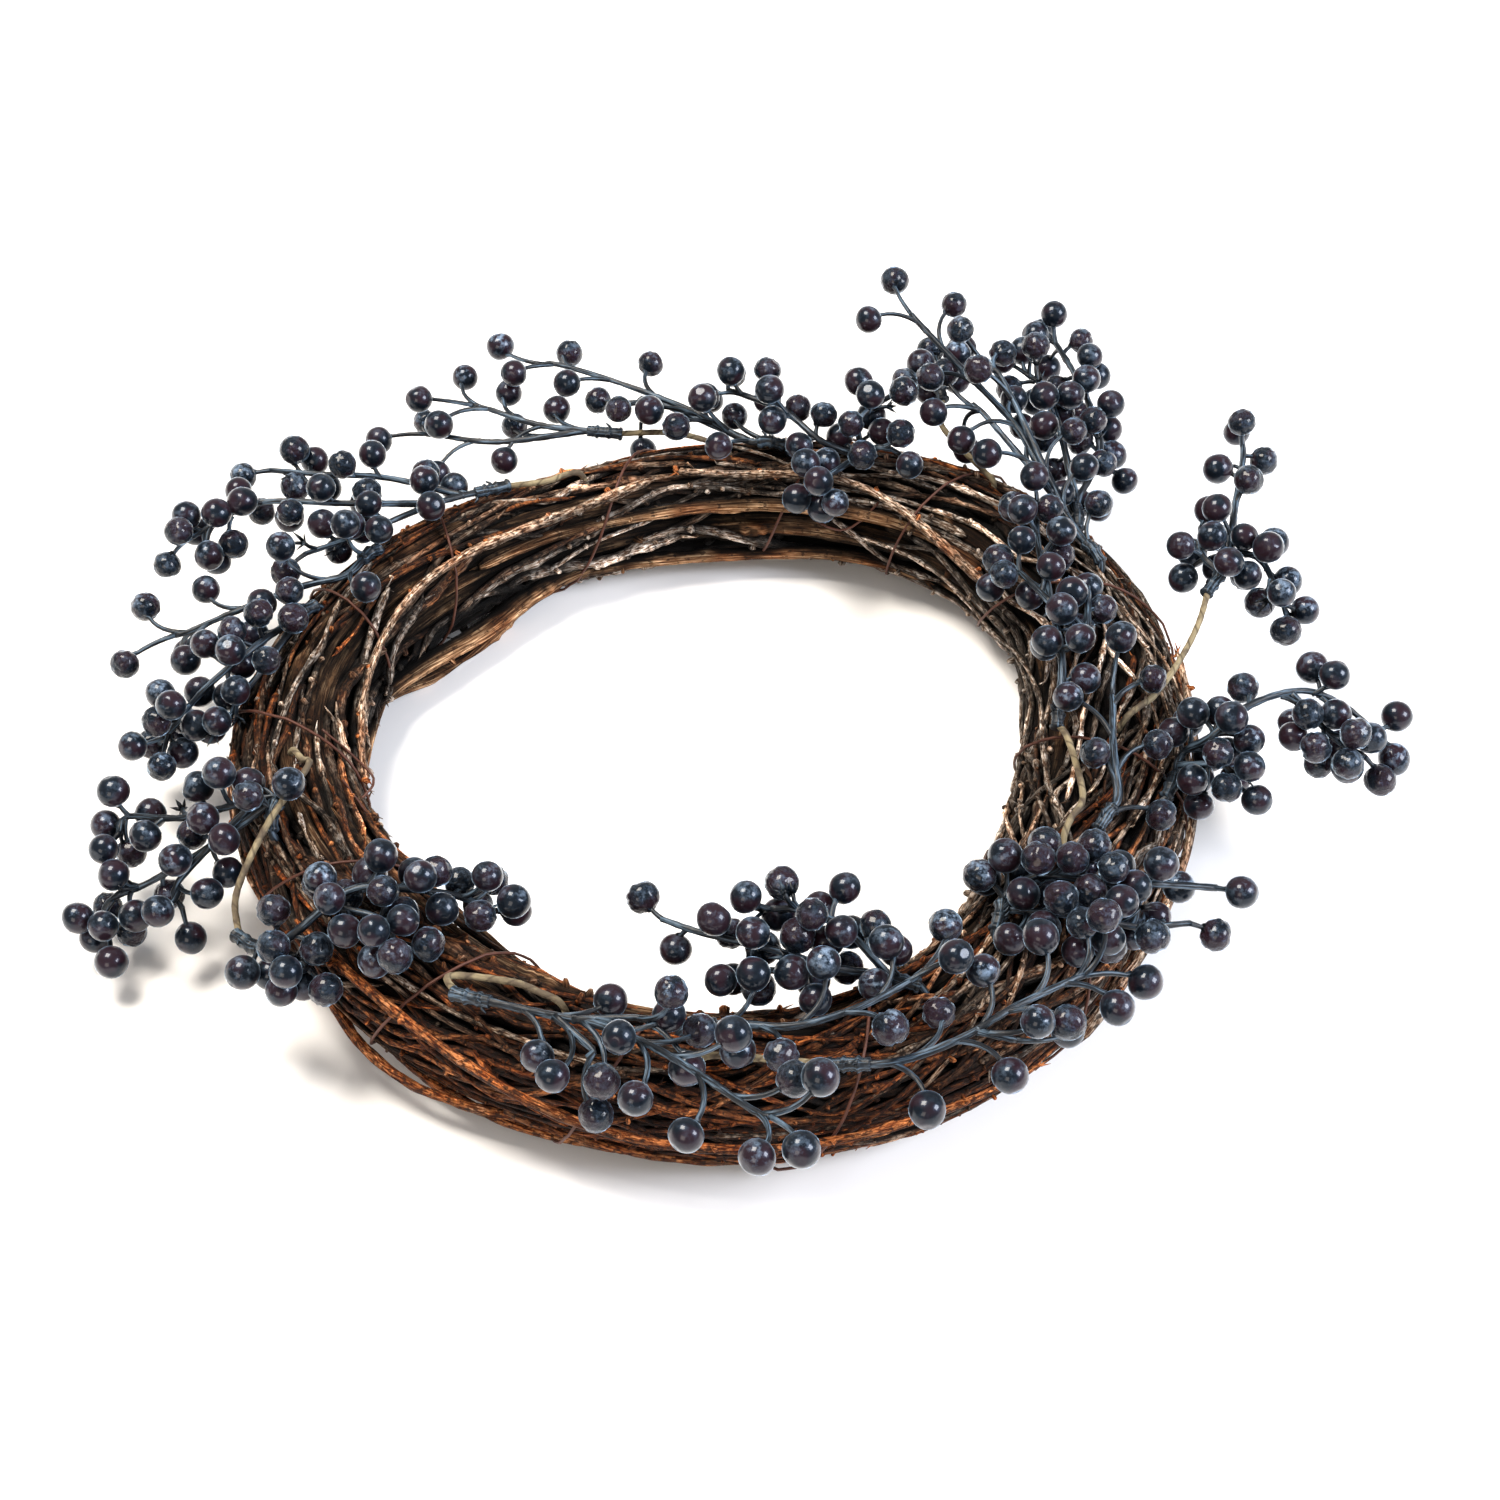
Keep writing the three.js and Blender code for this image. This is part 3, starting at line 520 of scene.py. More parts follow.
def add_node(tree, kind, inputs=None, stops=None, **settings):
    """Adds a node with its settings, ramp stops and inputs.

    An input takes a number, a hex colour, a socket, or a node whose first output in use it is linked to.
    """
    made = tree.nodes.new(kind)
    for name, value in settings.items():
        setattr(made, name, value)
    for i, (position, colour) in enumerate(stops or ()):
        stop = made.color_ramp.elements[i] if i < 2 else made.color_ramp.elements.new(position)
        stop.position = position
        stop.color = linear(colour)
    for name, value in (inputs or {}).items():
        socket = made.inputs[name] if isinstance(name, int) else next(
            s for s in made.inputs if s.name == name and s.enabled)
        if isinstance(value, bpy.types.Node):
            value = next(s for s in value.outputs if s.enabled)
        if isinstance(value, bpy.types.NodeSocket):
            tree.links.new(value, socket)
        else:
            socket.default_value = linear(value) if isinstance(value, str) else value
    return made


def finish_with(colour, roughness, normal, **fixed):
    """Joins the nodes of a material to its shader. Fixed values are set on the shader's own sockets."""
    tree = colour.id_data
    shader = tree.nodes["Principled BSDF"]
    for socket, value in (("Base Color", colour), ("Roughness", roughness), ("Normal", normal)):
        if isinstance(value, bpy.types.Node):
            tree.links.new(next(s for s in value.outputs if s.enabled), shader.inputs[socket])
        else:
            shader.inputs[socket].default_value = value
    for name, value in fixed.items():
        socket = shader.inputs[name.replace("_", " ")]
        socket.default_value = linear(value) if isinstance(value, str) else value


def new_material(name):
    """A material with only its shader, and its node tree."""
    material = bpy.data.materials.new(name)
    material.use_nodes = True
    return material, material.node_tree


def fibres(tree, width, length, detail=3.0, shift=0.0):
    """Streaks that run along a stem, their width and length in millimetres, different on every stem."""
    marks = add_node(tree, "ShaderNodeAttribute", attribute_name="marks")
    scaled = add_node(tree, "ShaderNodeVectorMath", {
        0: marks.outputs["Vector"], 1: (1 / width, 1 / length, STREAKS_BY_TINT), 2: (shift, shift, shift),
    }, operation="MULTIPLY_ADD")
    return add_node(tree, "ShaderNodeTexNoise", {
        "Vector": scaled, "Scale": 1.0, "Detail": detail, "Roughness": 0.6})


def spots(tree, size, detail=2.0, roughness=0.5):
    """Blotches the same in every direction, their size in millimetres."""
    place = add_node(tree, "ShaderNodeTexCoord")
    return add_node(tree, "ShaderNodeTexNoise", {
        "Vector": place.outputs["Object"], "Scale": 1 / (size * MM), "Detail": detail,
        "Roughness": roughness})


def own_mark(tree, axis="Z"):
    """A mark that each stem or berry carries: a stem's redness, or a berry's dust (Z) and wrinkles (X)."""
    marks = add_node(tree, "ShaderNodeAttribute", attribute_name="marks")
    return add_node(tree, "ShaderNodeSeparateXYZ", {"Vector": marks.outputs["Vector"]}).outputs[axis]


def vine_bark():
    """Dried vine stems: thin stringy bark, grey where weathered and red-brown where it has worn off."""
    material, tree = new_material("dried_vine_bark")
    # The tone carries each stem's own lightness with its painted shade and painted light
    tone = add_node(tree, "ShaderNodeAttribute", attribute_name="tone").outputs["Fac"]
    shift = add_node(tree, "ShaderNodeMath", {
        0: spots(tree, 16), 1: 0.9, 2: own_mark(tree)}, operation="MULTIPLY_ADD")
    body = add_node(tree, "ShaderNodeValToRGB", {
        "Fac": add_node(tree, "ShaderNodeMath", {0: shift, 1: 0.45}, operation="SUBTRACT")}, stops=(
        (0.0, "#c4beb8"), (1.0, "#97562a"), (0.35, "#bbaa99"), (0.7, "#a26b42")))
    streaks = fibres(tree, 0.6, 4.0, detail=4.0)
    worn = add_node(tree, "ShaderNodeValToRGB", {"Fac": streaks}, stops=(
        (0.34, "#3c2517"), (0.66, "#ffffff"), (0.45, "#775f4d"), (0.55, "#cac0b6")))
    body = add_node(tree, "ShaderNodeMix", {"Factor": 1.0, "A": body, "B": worn},
                    data_type="RGBA", blend_type="MULTIPLY")
    cracks = add_node(tree, "ShaderNodeMapRange", {
        "Value": fibres(tree, 1.4, 2.2, shift=11.3), "From Min": 0.49, "From Max": 0.4, "To Max": 0.85})
    body = add_node(tree, "ShaderNodeMix", {"Factor": cracks, "A": body, "B": "#170d08"}, data_type="RGBA")
    # Pale flakes of peeling bark, partly painted glints, that lighten the tone up to twice
    flakes_and_glints = add_node(tree, "ShaderNodeMapRange", {
        "Value": fibres(tree, 0.9, 2.6, shift=19.1), "From Min": 0.56, "From Max": 0.66,
        "To Min": 1.0, "To Max": 2.0})
    light = add_node(tree, "ShaderNodeMath", {0: tone, 1: flakes_and_glints}, operation="MULTIPLY")
    colour = add_node(tree, "ShaderNodeHueSaturation", {"Value": light, "Color": body})
    roughness = add_node(tree, "ShaderNodeMapRange", {
        "Value": streaks, "From Min": 0.3, "From Max": 0.7, "To Min": 0.8, "To Max": 0.5})
    coarse = add_node(tree, "ShaderNodeBump", {"Height": streaks, "Distance": 1.2 * MM, "Strength": 1.0})
    fine = add_node(tree, "ShaderNodeBump", {
        "Height": fibres(tree, 0.6, 1.4, shift=4.1), "Distance": 0.5 * MM, "Strength": 0.7,
        "Normal": coarse})
    finish_with(colour, roughness, fine, Specular_IOR_Level=0.15)
    return material


def branch_bark():
    """Old vine wood: grey furrowed bark with brown inner bark in the cracks and pale worn ridges."""
    material, tree = new_material("old_furrowed_bark")
    # The tone carries each branch's own lightness with its painted shade and painted light
    tone = add_node(tree, "ShaderNodeAttribute", attribute_name="tone").outputs["Fac"]
    furrows = fibres(tree, 0.6, 12.0, detail=5.0)
    body = add_node(tree, "ShaderNodeValToRGB", {"Fac": furrows}, stops=(
        (0.34, "#22140b"), (0.66, "#ae9070"), (0.45, "#48311f"), (0.55, "#6f533b")))
    damp = add_node(tree, "ShaderNodeMapRange", {
        "Value": spots(tree, 26), "From Min": 0.48, "From Max": 0.62, "To Max": 0.75})
    body = add_node(tree, "ShaderNodeMix", {"Factor": damp, "A": body, "B": "#a87c58"},
                    data_type="RGBA", blend_type="MULTIPLY")
    cracks = add_node(tree, "ShaderNodeMapRange", {
        "Value": fibres(tree, 1.6, 3.0, shift=7.7), "From Min": 0.44, "From Max": 0.36, "To Max": 0.8})
    body = add_node(tree, "ShaderNodeMix", {"Factor": cracks, "A": body, "B": "#150e0a"}, data_type="RGBA")
    colour = add_node(tree, "ShaderNodeHueSaturation", {"Value": tone, "Color": body})
    coarse = add_node(tree, "ShaderNodeBump", {"Height": furrows, "Distance": 1.5 * MM, "Strength": 1.0})
    fine = add_node(tree, "ShaderNodeBump", {
        "Height": fibres(tree, 0.7, 1.8, shift=2.2), "Distance": 0.5 * MM, "Strength": 0.7,
        "Normal": coarse})
    finish_with(colour, 0.85, fine, Specular_IOR_Level=0.12)
    return material


def rusted_wire():
    """Iron tying wire, rusted all over: dull and red-brown, with a little bare metal left."""
    material, tree = new_material("rusted_iron_wire")
    rust = add_node(tree, "ShaderNodeMix", {
        "Factor": spots(tree, 3, 4.0), "A": "#24110b", "B": "#5f3424"}, data_type="RGBA")
    pits = add_node(tree, "ShaderNodeBump", {
        "Height": spots(tree, 0.8, 3.0), "Distance": 0.2 * MM, "Strength": 0.5})
    finish_with(rust, 0.55, pits, Metallic=0.3)
    return material


def paper_tape():
    """Crepe paper tape wound round a wire: tan and matt, with the edge of each turn raised and darker."""
    material, tree = new_material("tan_paper_tape")
    marks = add_node(tree, "ShaderNodeAttribute", attribute_name="marks")
    split = add_node(tree, "ShaderNodeSeparateXYZ", {"Vector": marks.outputs["Vector"]})
    slant = add_node(tree, "ShaderNodeMath", {
        0: split.outputs["Y"], 1: split.outputs["X"]}, operation="ADD")
    edge = add_node(tree, "ShaderNodeMath", {0: slant, 1: 3.5}, operation="PINGPONG")
    crepe = add_node(tree, "ShaderNodeMix", {
        "Factor": fibres(tree, 0.6, 9.0), "A": "#3d3222", "B": "#a39574"}, data_type="RGBA")
    shade = add_node(tree, "ShaderNodeMapRange", {
        "Value": edge, "From Min": 0.9, "From Max": 0.0, "To Max": 0.8})
    edged = add_node(tree, "ShaderNodeMix", {
        "Factor": shade, "A": crepe, "B": "#33281a"}, data_type="RGBA")
    stain = add_node(tree, "ShaderNodeMapRange", {
        "Value": spots(tree, 7, 3.0), "From Min": 0.44, "From Max": 0.58, "To Max": 0.85})
    colour = add_node(tree, "ShaderNodeMix", {
        "Factor": stain, "A": edged, "B": "#42362a"}, data_type="RGBA")
    turns = add_node(tree, "ShaderNodeMapRange", {"Value": edge, "From Max": 1.0})
    height = add_node(tree, "ShaderNodeMath", {0: turns, 1: fibres(tree, 0.4, 1.5)}, operation="ADD")
    ridge = add_node(tree, "ShaderNodeBump", {"Height": height, "Distance": 0.25 * MM, "Strength": 0.7})
    finish_with(colour, 0.82, ridge)
    return material


def berry_lacquer():
    """Foam beads dipped in blue-black lacquer, with pale blue powder on it: glossy under a thin haze."""
    material, tree = new_material("dusted_berry_lacquer")
    purple = add_node(tree, "ShaderNodeMapRange", {
        "Value": spots(tree, 9, 1.0), "From Min": 0.45, "From Max": 0.56})
    body = add_node(tree, "ShaderNodeMix", {
        "Factor": purple, "A": "#090e15", "B": "#211319"}, data_type="RGBA")
    haze = add_node(tree, "ShaderNodeMapRange", {
        "Value": spots(tree, 4, 5.0, 0.7), "From Min": 0.5, "From Max": 0.68})
    # The dust lies thicker on the upper side of each berry: partly real dust, partly painted light on the
    # tops
    up = add_node(tree, "ShaderNodeSeparateXYZ", {
        "Vector": add_node(tree, "ShaderNodeTexCoord").outputs["Normal"]}).outputs["Z"]
    settled_dust_and_top_light = add_node(tree, "ShaderNodeMapRange", {
        "Value": up, "From Min": 0.2, "From Max": 1.0, "To Min": 0.2, "To Max": 1.5})
    blown = add_node(tree, "ShaderNodeMath", {0: haze, 1: own_mark(tree)}, operation="MULTIPLY")
    dust_and_top_light = add_node(tree, "ShaderNodeMath", {0: blown, 1: settled_dust_and_top_light}, operation="MULTIPLY")
    colour = add_node(tree, "ShaderNodeMix", {
        "Factor": dust_and_top_light, "A": body, "B": "#7689a0"}, data_type="RGBA")
    roughness = add_node(tree, "ShaderNodeMapRange", {"Value": haze, "To Min": 0.32, "To Max": 0.5})
    skin = add_node(tree, "ShaderNodeBump", {
        "Height": spots(tree, 1.4, 3.0), "Distance": 0.12 * MM, "Strength": 0.3})
    folds = add_node(tree, "ShaderNodeBump", {
        "Height": spots(tree, 2.8, 3.0), "Distance": 2.4 * MM, "Strength": own_mark(tree, "X"),
        "Normal": skin})
    finish_with(colour, roughness, folds, IOR=1.4, Specular_IOR_Level=0.35, Specular_Tint="#86a8d0",
                Coat_Weight=0.7, Coat_Roughness=0.1, Coat_IOR=1.35, Sheen_Weight=0.85, Sheen_Roughness=0.25,
                Sheen_Tint="#accbe8")
    return material


def stem_plastic():
    """Moulded soft plastic stems: dark slate blue, ribbed along, with powder left on the ribs."""
    material, tree = new_material("moulded_stem_plastic")
    ribs = fibres(tree, 0.7, 12.0)
    powder = add_node(tree, "ShaderNodeMapRange", {
        "Value": ribs, "From Min": 0.5, "From Max": 0.66, "To Max": 0.75})
    ribbed = add_node(tree, "ShaderNodeMix", {
        "Factor": powder, "A": "#0c1117", "B": "#62788c"}, data_type="RGBA")
    dull = add_node(tree, "ShaderNodeMapRange", {
        "Value": spots(tree, 6, 3.0), "From Min": 0.5, "From Max": 0.7, "To Max": 0.4})
    colour = add_node(tree, "ShaderNodeMix", {
        "Factor": dull, "A": ribbed, "B": "#26303b"}, data_type="RGBA")
    grooves = add_node(tree, "ShaderNodeBump", {"Height": ribs, "Distance": 0.35 * MM, "Strength": 0.7})
    finish_with(colour, 0.4, grooves, IOR=1.5, Specular_IOR_Level=0.3)
    return material


VINE_BARK = vine_bark()
BRANCH_BARK = branch_bark()
RUSTED_WIRE = rusted_wire()
PAPER_TAPE = paper_tape()
BERRY_LACQUER = berry_lacquer()
STEM_PLASTIC = stem_plastic()


# Stems of the hoop

# Each stem takes its bark from a stretch of its own, out of this length
BARK_LENGTH = 900

# The hoop is flatter at the front: how much, round which angle and place, and how far to each side
FRONT_FLAT = 3.2
FLATTEST = 262
FLAT_REACH = 24
FLATTEST_PLACE = -35

# Where the stems are red-brown, and how red is one that kept its skin or lost it
REDDEST = 265
RED_REACH = 55
RED_FRONT = 0.75
RED_OUTSIDE = 0.2
OUTSIDE_PLACE = 15
KEPT_SKIN = 0.6
LOST_SKIN = 0.05
KEPT_SHARE = 0.42
KEPT_AT_BACK = 0.25
BACK = 160

# Broken side shoots are left off the underside, where the wreath rests. They and splinters stand askew
STUBS_ABOVE = 6
STUB_SHARE = 0.7
ASKEW = 0.35
JOINT_SWELLING = 0.4
STEM_ROUGHNESS = 0.15

# How light the stems of the winding are, and those that cross over it
WINDING_TONES = (0.5, 0.85, 1.3, 2.2)
CROSSING_TONES = (0.55, 0.95, 1.7)


def rough_skin(rng, count, sides, amount, run):
    """Ups and downs of a bark, one a corner, that run on along the stem for a few steps."""
    field = rng.standard_normal((count + 2 * run, sides))
    smooth = np.stack([field[i:i + count] for i in range(2 * run + 1)]).mean(axis=0)
    return amount * np.clip(smooth * math.sqrt(2 * run + 1), -2, 2)


def joints_along(rng, length, gap):
    """Lengths at which side shoots once grew."""
    joints = []
    at = rng.uniform(0.3, 1.0) * gap
    while at < length[-1]:
        joints.append(at)
        at += gap * rng.uniform(0.5, 1.6)
    return joints


def swellings(rng, length, joints, height, reach=2.6):
    """How much thicker a stem is near each of its joints."""
    swell = np.ones(len(length))
    for joint in joints:
        swell += height * rng.uniform(0.4, 1.3) * np.exp(-((length - joint) / reach) ** 2)
    return swell


def stub(form, rng, root, outward, tangent, radius, tint, tone):
    """A broken side shoot: a short slanting peg with a ragged end."""
    lean = outward + tangent * rng.uniform(-1.0, 1.0) + ASKEW * rng.standard_normal(3)
    reach = radius * rng.uniform(1.3, 2.6)
    path = root + unit(lean)[None, :] * reach * np.array([0, 0.55, 0.85, 1.0])[:, None]
    size = radius * np.array([0.85, 0.7, rng.uniform(0.5, 0.8), 0.3])
    ragged = size[:, None] * rng.uniform(0.8, 1.2, (4, 6))
    tube(form, path, ragged, 6, tint, tone, offset=rng.uniform(0, BARK_LENGTH))


def splinters(form, rng, end, onward, outward, radius, tint, tone):
    """Torn fibres at the end of a stem."""
    for _ in range(rng.integers(1, 4)):
        aim = unit(onward + ASKEW * rng.standard_normal(3) + 0.15 * outward)
        reach = radius * rng.uniform(1.5, 4.0)
        root = end + rng.uniform(-0.4, 0.4, 3) * radius
        path = root + aim[None, :] * reach * np.array([-0.4, 0.4, 1.0])[:, None]
        tube(form, path, radius * np.array([0.4, 0.28, 0.06]), 4, tint, tone,
             offset=rng.uniform(0, BARK_LENGTH))


def wandering(rng, angles, slope, gap=13.0, hold=0.45):
    """Places of a stem that bends at its joints, as dried vine does, and keeps near its lane."""
    places = [0.0]
    knots = [angles[0]]
    while knots[-1] < angles[-1]:
        step = gap * rng.uniform(0.5, 1.5)
        knots.append(knots[-1] + step)
        places.append(places[-1] * (1 - hold * step / gap) + rng.normal(0, slope) * step)
    kinked = np.interp(angles, knots, places)
    around = np.stack([np.roll(kinked, shift) for shift in (-1, 0, 1)])
    around[0, -1] = around[2, 0] = 0
    kinked[1:-1] = around[:, 1:-1].mean(axis=0)
    return kinked


def drawn_in(angles, places):
    """The hoop is flatter at the front, low on its outside, than the plain oval that it is built on."""
    front = np.exp(-((angles % 360 - FLATTEST) / FLAT_REACH) ** 2)
    return FRONT_FLAT * front * np.clip(np.cos(np.radians(places - FLATTEST_PLACE)), 0, 1)


def bark_stem(form, rng, angles, places, depths, radius, tint, sides=8, joint_gap=21, bright=1.0):
    """A dried stem along the hoop, its skin the given depths under the hoop's own."""
    path = on_hoop(angles, places, -depths - radius - drawn_in(angles, places))
    length = travelled(path)
    joints = joints_along(rng, length, joint_gap)
    swell = swellings(rng, length, joints, JOINT_SWELLING)
    taper = np.linspace(1.0, rng.uniform(0.62, 0.9), len(path))
    torn = np.minimum(1, 0.45 + np.minimum(length, length[-1] - length) / 7)
    skin = rough_skin(rng, len(path), sides, STEM_ROUGHNESS, 1)
    out = outwards(angles, places)
    # Painted light on the skin's bumps and painted shade in its dips; out adds painted shade on the inner
    # side
    tone = bright * np.clip(1 + 2.2 * skin, 0.4, 1.6)
    tube(form, path, radius * (swell * taper * torn)[:, None] * (1 + skin), sides, tint, tone,
         start=-out[0], offset=rng.uniform(0, BARK_LENGTH), out=out)
    tangent = unit(np.gradient(path, axis=0))
    for joint in joints:
        i = int(np.searchsorted(length, joint))
        if i < len(path) - 1 and path[i, 2] > STUBS_ABOVE and rng.random() < STUB_SHARE:
            aim = out[i] + 0.9 * rng.uniform(-1, 1) * np.cross(tangent[i], out[i])
            stub(form, rng, path[i], aim, tangent[i], radius, tint, bright)
    splinters(form, rng, path[0], -tangent[0], out[0], radius, tint, bright)
    splinters(form, rng, path[-1], tangent[-1], out[-1], radius * taper[-1], tint, bright)


def redness(angle, place, rng):
    """Stems are red-brown at the front, and weathered grey elsewhere, most of all on the hole's side."""
    from_front = (angle - REDDEST + 180) % 360 - 180
    front = RED_FRONT * math.exp(-(from_front / RED_REACH) ** 2)
    side = RED_OUTSIDE * math.cos(math.radians(place - OUTSIDE_PLACE))
    share = KEPT_SHARE + KEPT_AT_BACK * math.cos(math.radians(angle - BACK))
    own = KEPT_SKIN if rng.random() < share else LOST_SKIN
    return float(np.clip(own + front + side + rng.normal(0, 0.15), 0, 1))


def stem_run(rng, start, span, place, slope, depth, drift=0.0, step=1.35):
    """Angles, places and depths of a stem that wanders round the section as it goes round the hoop."""
    angles = start + span * np.linspace(0, 1, max(8, round(span / step)))
    a = np.radians(angles)
    own = rng.uniform(0, 2 * np.pi)
    places = place + drift * (angles - angles.mean()) + wandering(rng, angles, slope)
    depths = depth + 0.45 * np.sin(4.3 * a + 2 * own) + 0.3 * np.sin(11 * a + own)
    return angles, places, depths


# Layers of thin stems on a quarter of the outside: count, depth, radius, span, how far they wander and
# slant, and how many sides they have
LAYERS = (
    (34, (-0.7, 0.9), (0.9, 1.6), (25, 95), 1.5, 1.2, 6),
    (16, (1.2, 2.4), (1.1, 1.9), (50, 150), 1.1, 0.8, 6),
    (8, (3.4, 4.6), (1.6, 2.4), (100, 210), 0.8, 0.4, 8),
    (4, (6.0, 7.2), (2.6, 3.4), (220, 340), 0.35, 0.05, 8),
)
ZONES = ((-100, -45), (-45, 9), (9, 63), (63, 118))


def zone_stems(zone, seed):
    """The thin stems of one quarter of the outside, in four crossing layers."""
    rng = np.random.default_rng(seed)
    form = Form()
    low, high = zone
    for count, depth, radius, span, slope, slant, sides in LAYERS:
        for k in range(count):
            place = low + (high - low) * (k + rng.uniform(0.1, 0.9)) / count
            start = 360 * ((k * 0.618 + 0.21 * seed) % 1) + rng.uniform(-20, 20)
            run = stem_run(rng, start, rng.uniform(*span), place, slope, rng.uniform(*depth),
                           rng.uniform(-slant, slant))
            bark_stem(form, rng, *run, rng.uniform(*radius), redness(run[0].mean(), place, rng), sides,
                      bright=rng.choice(WINDING_TONES))
    return form


# Stems that cross over the winding: seed, count, places, radius, angles where they start, span, and how far
# one end peels away
FRONT = (205, 300)
RIGHT = (-65, 35)
LEFT_BACK = (135, 190)
ALL_ROUND = (0, 360)
CROSSINGS = (
    ((41, 9, (200, 258), (1.3, 2.3), ALL_ROUND, (35, 110), 0),),
    ((47, 20, ZONES[1], (0.8, 1.3), FRONT, (30, 80), 0),
     (51, 11, ZONES[1], (0.7, 1.1), RIGHT, (30, 80), 0)),
    ((48, 20, ZONES[2], (0.8, 1.3), FRONT, (30, 80), 0),
     (52, 11, ZONES[2], (0.7, 1.1), RIGHT, (30, 80), 0)),
    ((49, 20, ZONES[3], (0.8, 1.3), FRONT, (30, 80), 0),
     (53, 11, ZONES[3], (0.7, 1.1), RIGHT, (30, 80), 0),
     (44, 26, (104, 205), (1.0, 1.9), ALL_ROUND, (35, 110), 0),
     (45, 6, (112, 200), (2.0, 2.8), ALL_ROUND, (35, 110), 0),
     (54, 18, (165, 212), (1.1, 1.9), LEFT_BACK, (9, 22), 4.5)),
)


def crossing_stems(form, seed, count, places, radius, starts, span, peel):
    """Thin stems that cross over the others at the given places, and peel away from them at one end."""
    rng = np.random.default_rng(seed)
    low, high = places
    for k in range(count):
        place = low + (high - low) * (k + 0.5) / count
        start = rng.uniform(*starts)
        run = stem_run(rng, start, rng.uniform(*span), place, 1.2, rng.uniform(-0.9, 0.4),
                       rng.normal(0.4, 1.1))
        run[2][:] -= peel * np.linspace(0, 1, len(run[2])) ** 3
        size = rng.uniform(*radius)
        bright = rng.choice(CROSSING_TONES) / (0.6 + 0.4 * size)
        bark_stem(form, rng, *run, size, redness(run[0].mean(), place, rng), 6, bright=bright)


HEART_RADIUS = 12.5
INNER_STEMS = 22
INNER_DEPTH = 8.0


def inner_bundle():
    """The stems inside the hoop, on a round painted dark as shade, which stops light between them."""
    rng = np.random.default_rng(70)
    form = Form()
    angles = np.arange(0, 361, 6.0)
    heart = polar(angles, ring_radius(angles), np.full(len(angles), float(RING_HEIGHT)))
    # The round's tone of 0.08 is painted shade
    tube(form, heart, HEART_RADIUS, 14, 0.3, 0.08)
    for k in range(INNER_STEMS):
        place = 360 * k / INNER_STEMS
        run = stem_run(rng, 360 * ((k * 0.618) % 1), rng.uniform(250, 340), place, 0.2,
                       INNER_DEPTH + rng.uniform(-1, 1.2), step=5)
        bark_stem(form, rng, *run, rng.uniform(2.8, 3.7), redness(0, place, rng), 6)
    return form


def furrowed_skin(rng, length, turn, radius):
    """Ups and downs of old bark, one a corner: rough, ridged along, and ringed round its knots."""
    skin = rough_skin(rng, len(length), len(turn), 0.045, 3)
    for waves in (3, 5, 9):
        bend = 0.8 * np.sin(length / rng.uniform(18, 40) + rng.uniform(0, 6))
        skin += 0.035 * np.sin(waves * turn[None, :] + bend[:, None] + rng.uniform(0, 6))
    for _ in range(max(3, round(length[-1] / KNOT_GAP))):
        at = rng.uniform(8, length[-1] - 8)
        side = rng.uniform(0, 2 * np.pi)
        off = (turn[None, :] - side + np.pi) % (2 * np.pi) - np.pi
        away = np.hypot((length[:, None] - at) / 4.5, off * radius / 3.4)
        skin += 0.26 * np.exp(-((away - 0.75) / 0.4) ** 2) - 0.12 * np.exp(-(away / 0.35) ** 2)
    return skin


def thick_branch(form, rng, start, span, place, radius, depth=0.0, sag=0.0):
    """A thick old branch: furrowed along its length, knotted, and broken off at its ends."""
    sides = 34 if radius > 5 else 18
    count = round(span / BRANCH_STEP)
    t = np.linspace(0, 1, count)
    angles = start + span * t
    own = rng.uniform(0, 2 * np.pi)
    places = place + wandering(rng, angles, 0.16, gap=24) + 2.0 * np.sin(np.radians(3.1 * angles) + own)
    depths = depth + 0.5 * np.sin(np.radians(4.2 * angles) + own) - sag * np.sin(np.pi * t) ** 2
    size = radius * (1 - 0.2 * t)
    path = on_hoop(angles, places, -depths - size)
    length = travelled(path)
    turn = 2 * np.pi * np.arange(sides) / sides
    skin = furrowed_skin(rng, length, turn, radius)
    torn = np.minimum(1, 0.5 + np.minimum(length, length[-1] - length) / 6)
    out = outwards(angles, places)
    # Painted light on the bark's ridges and painted shade in its furrows; out adds painted shade on the
    # inner side
    tone = np.clip(1 + 4 * skin, 0.25, 1.7)
    tube(form, path, (size * torn)[:, None] * (1 + skin), sides, rng.random(), tone, start=-out[0],
         offset=rng.uniform(0, BARK_LENGTH), out=out)
    tangent = unit(np.gradient(path, axis=0))
    for _ in range(round(length[-1] / SHOOT_GAP)):
        i = rng.integers(4, count - 4)
        stub(form, rng, path[i] + out[i] * size[i] * 0.6, out[i], tangent[i], size[i] * 0.42, 0.3, 1.0)
    splinters(form, rng, path[0], -tangent[0], out[0], size[0] * 0.8, 0.2, 0.9)
    splinters(form, rng, path[-1], tangent[-1], out[-1], size[-1] * 0.8, 0.2, 0.9)


def branches():
    """Forms of the thick branches, with what each is called and made of."""
    for i, place in enumerate(BRANCH_PLACES):
        rng = np.random.default_rng(20 + i)
        form = Form()
        thick_branch(form, rng, BRANCH_STARTS[i], BRANCH_SPAN, place, BRANCH_RADIUS, BRANCH_DEPTH)
        for start, span, beside, radius, depth, sag in SIDE_BRANCHES[i]:
            thick_branch(form, rng, start, span, beside, radius, depth, sag)
        yield form, (f"branch_{i + 1}_bark", BRANCH_BARK, "grey_bark", f"branch_{i + 1}")


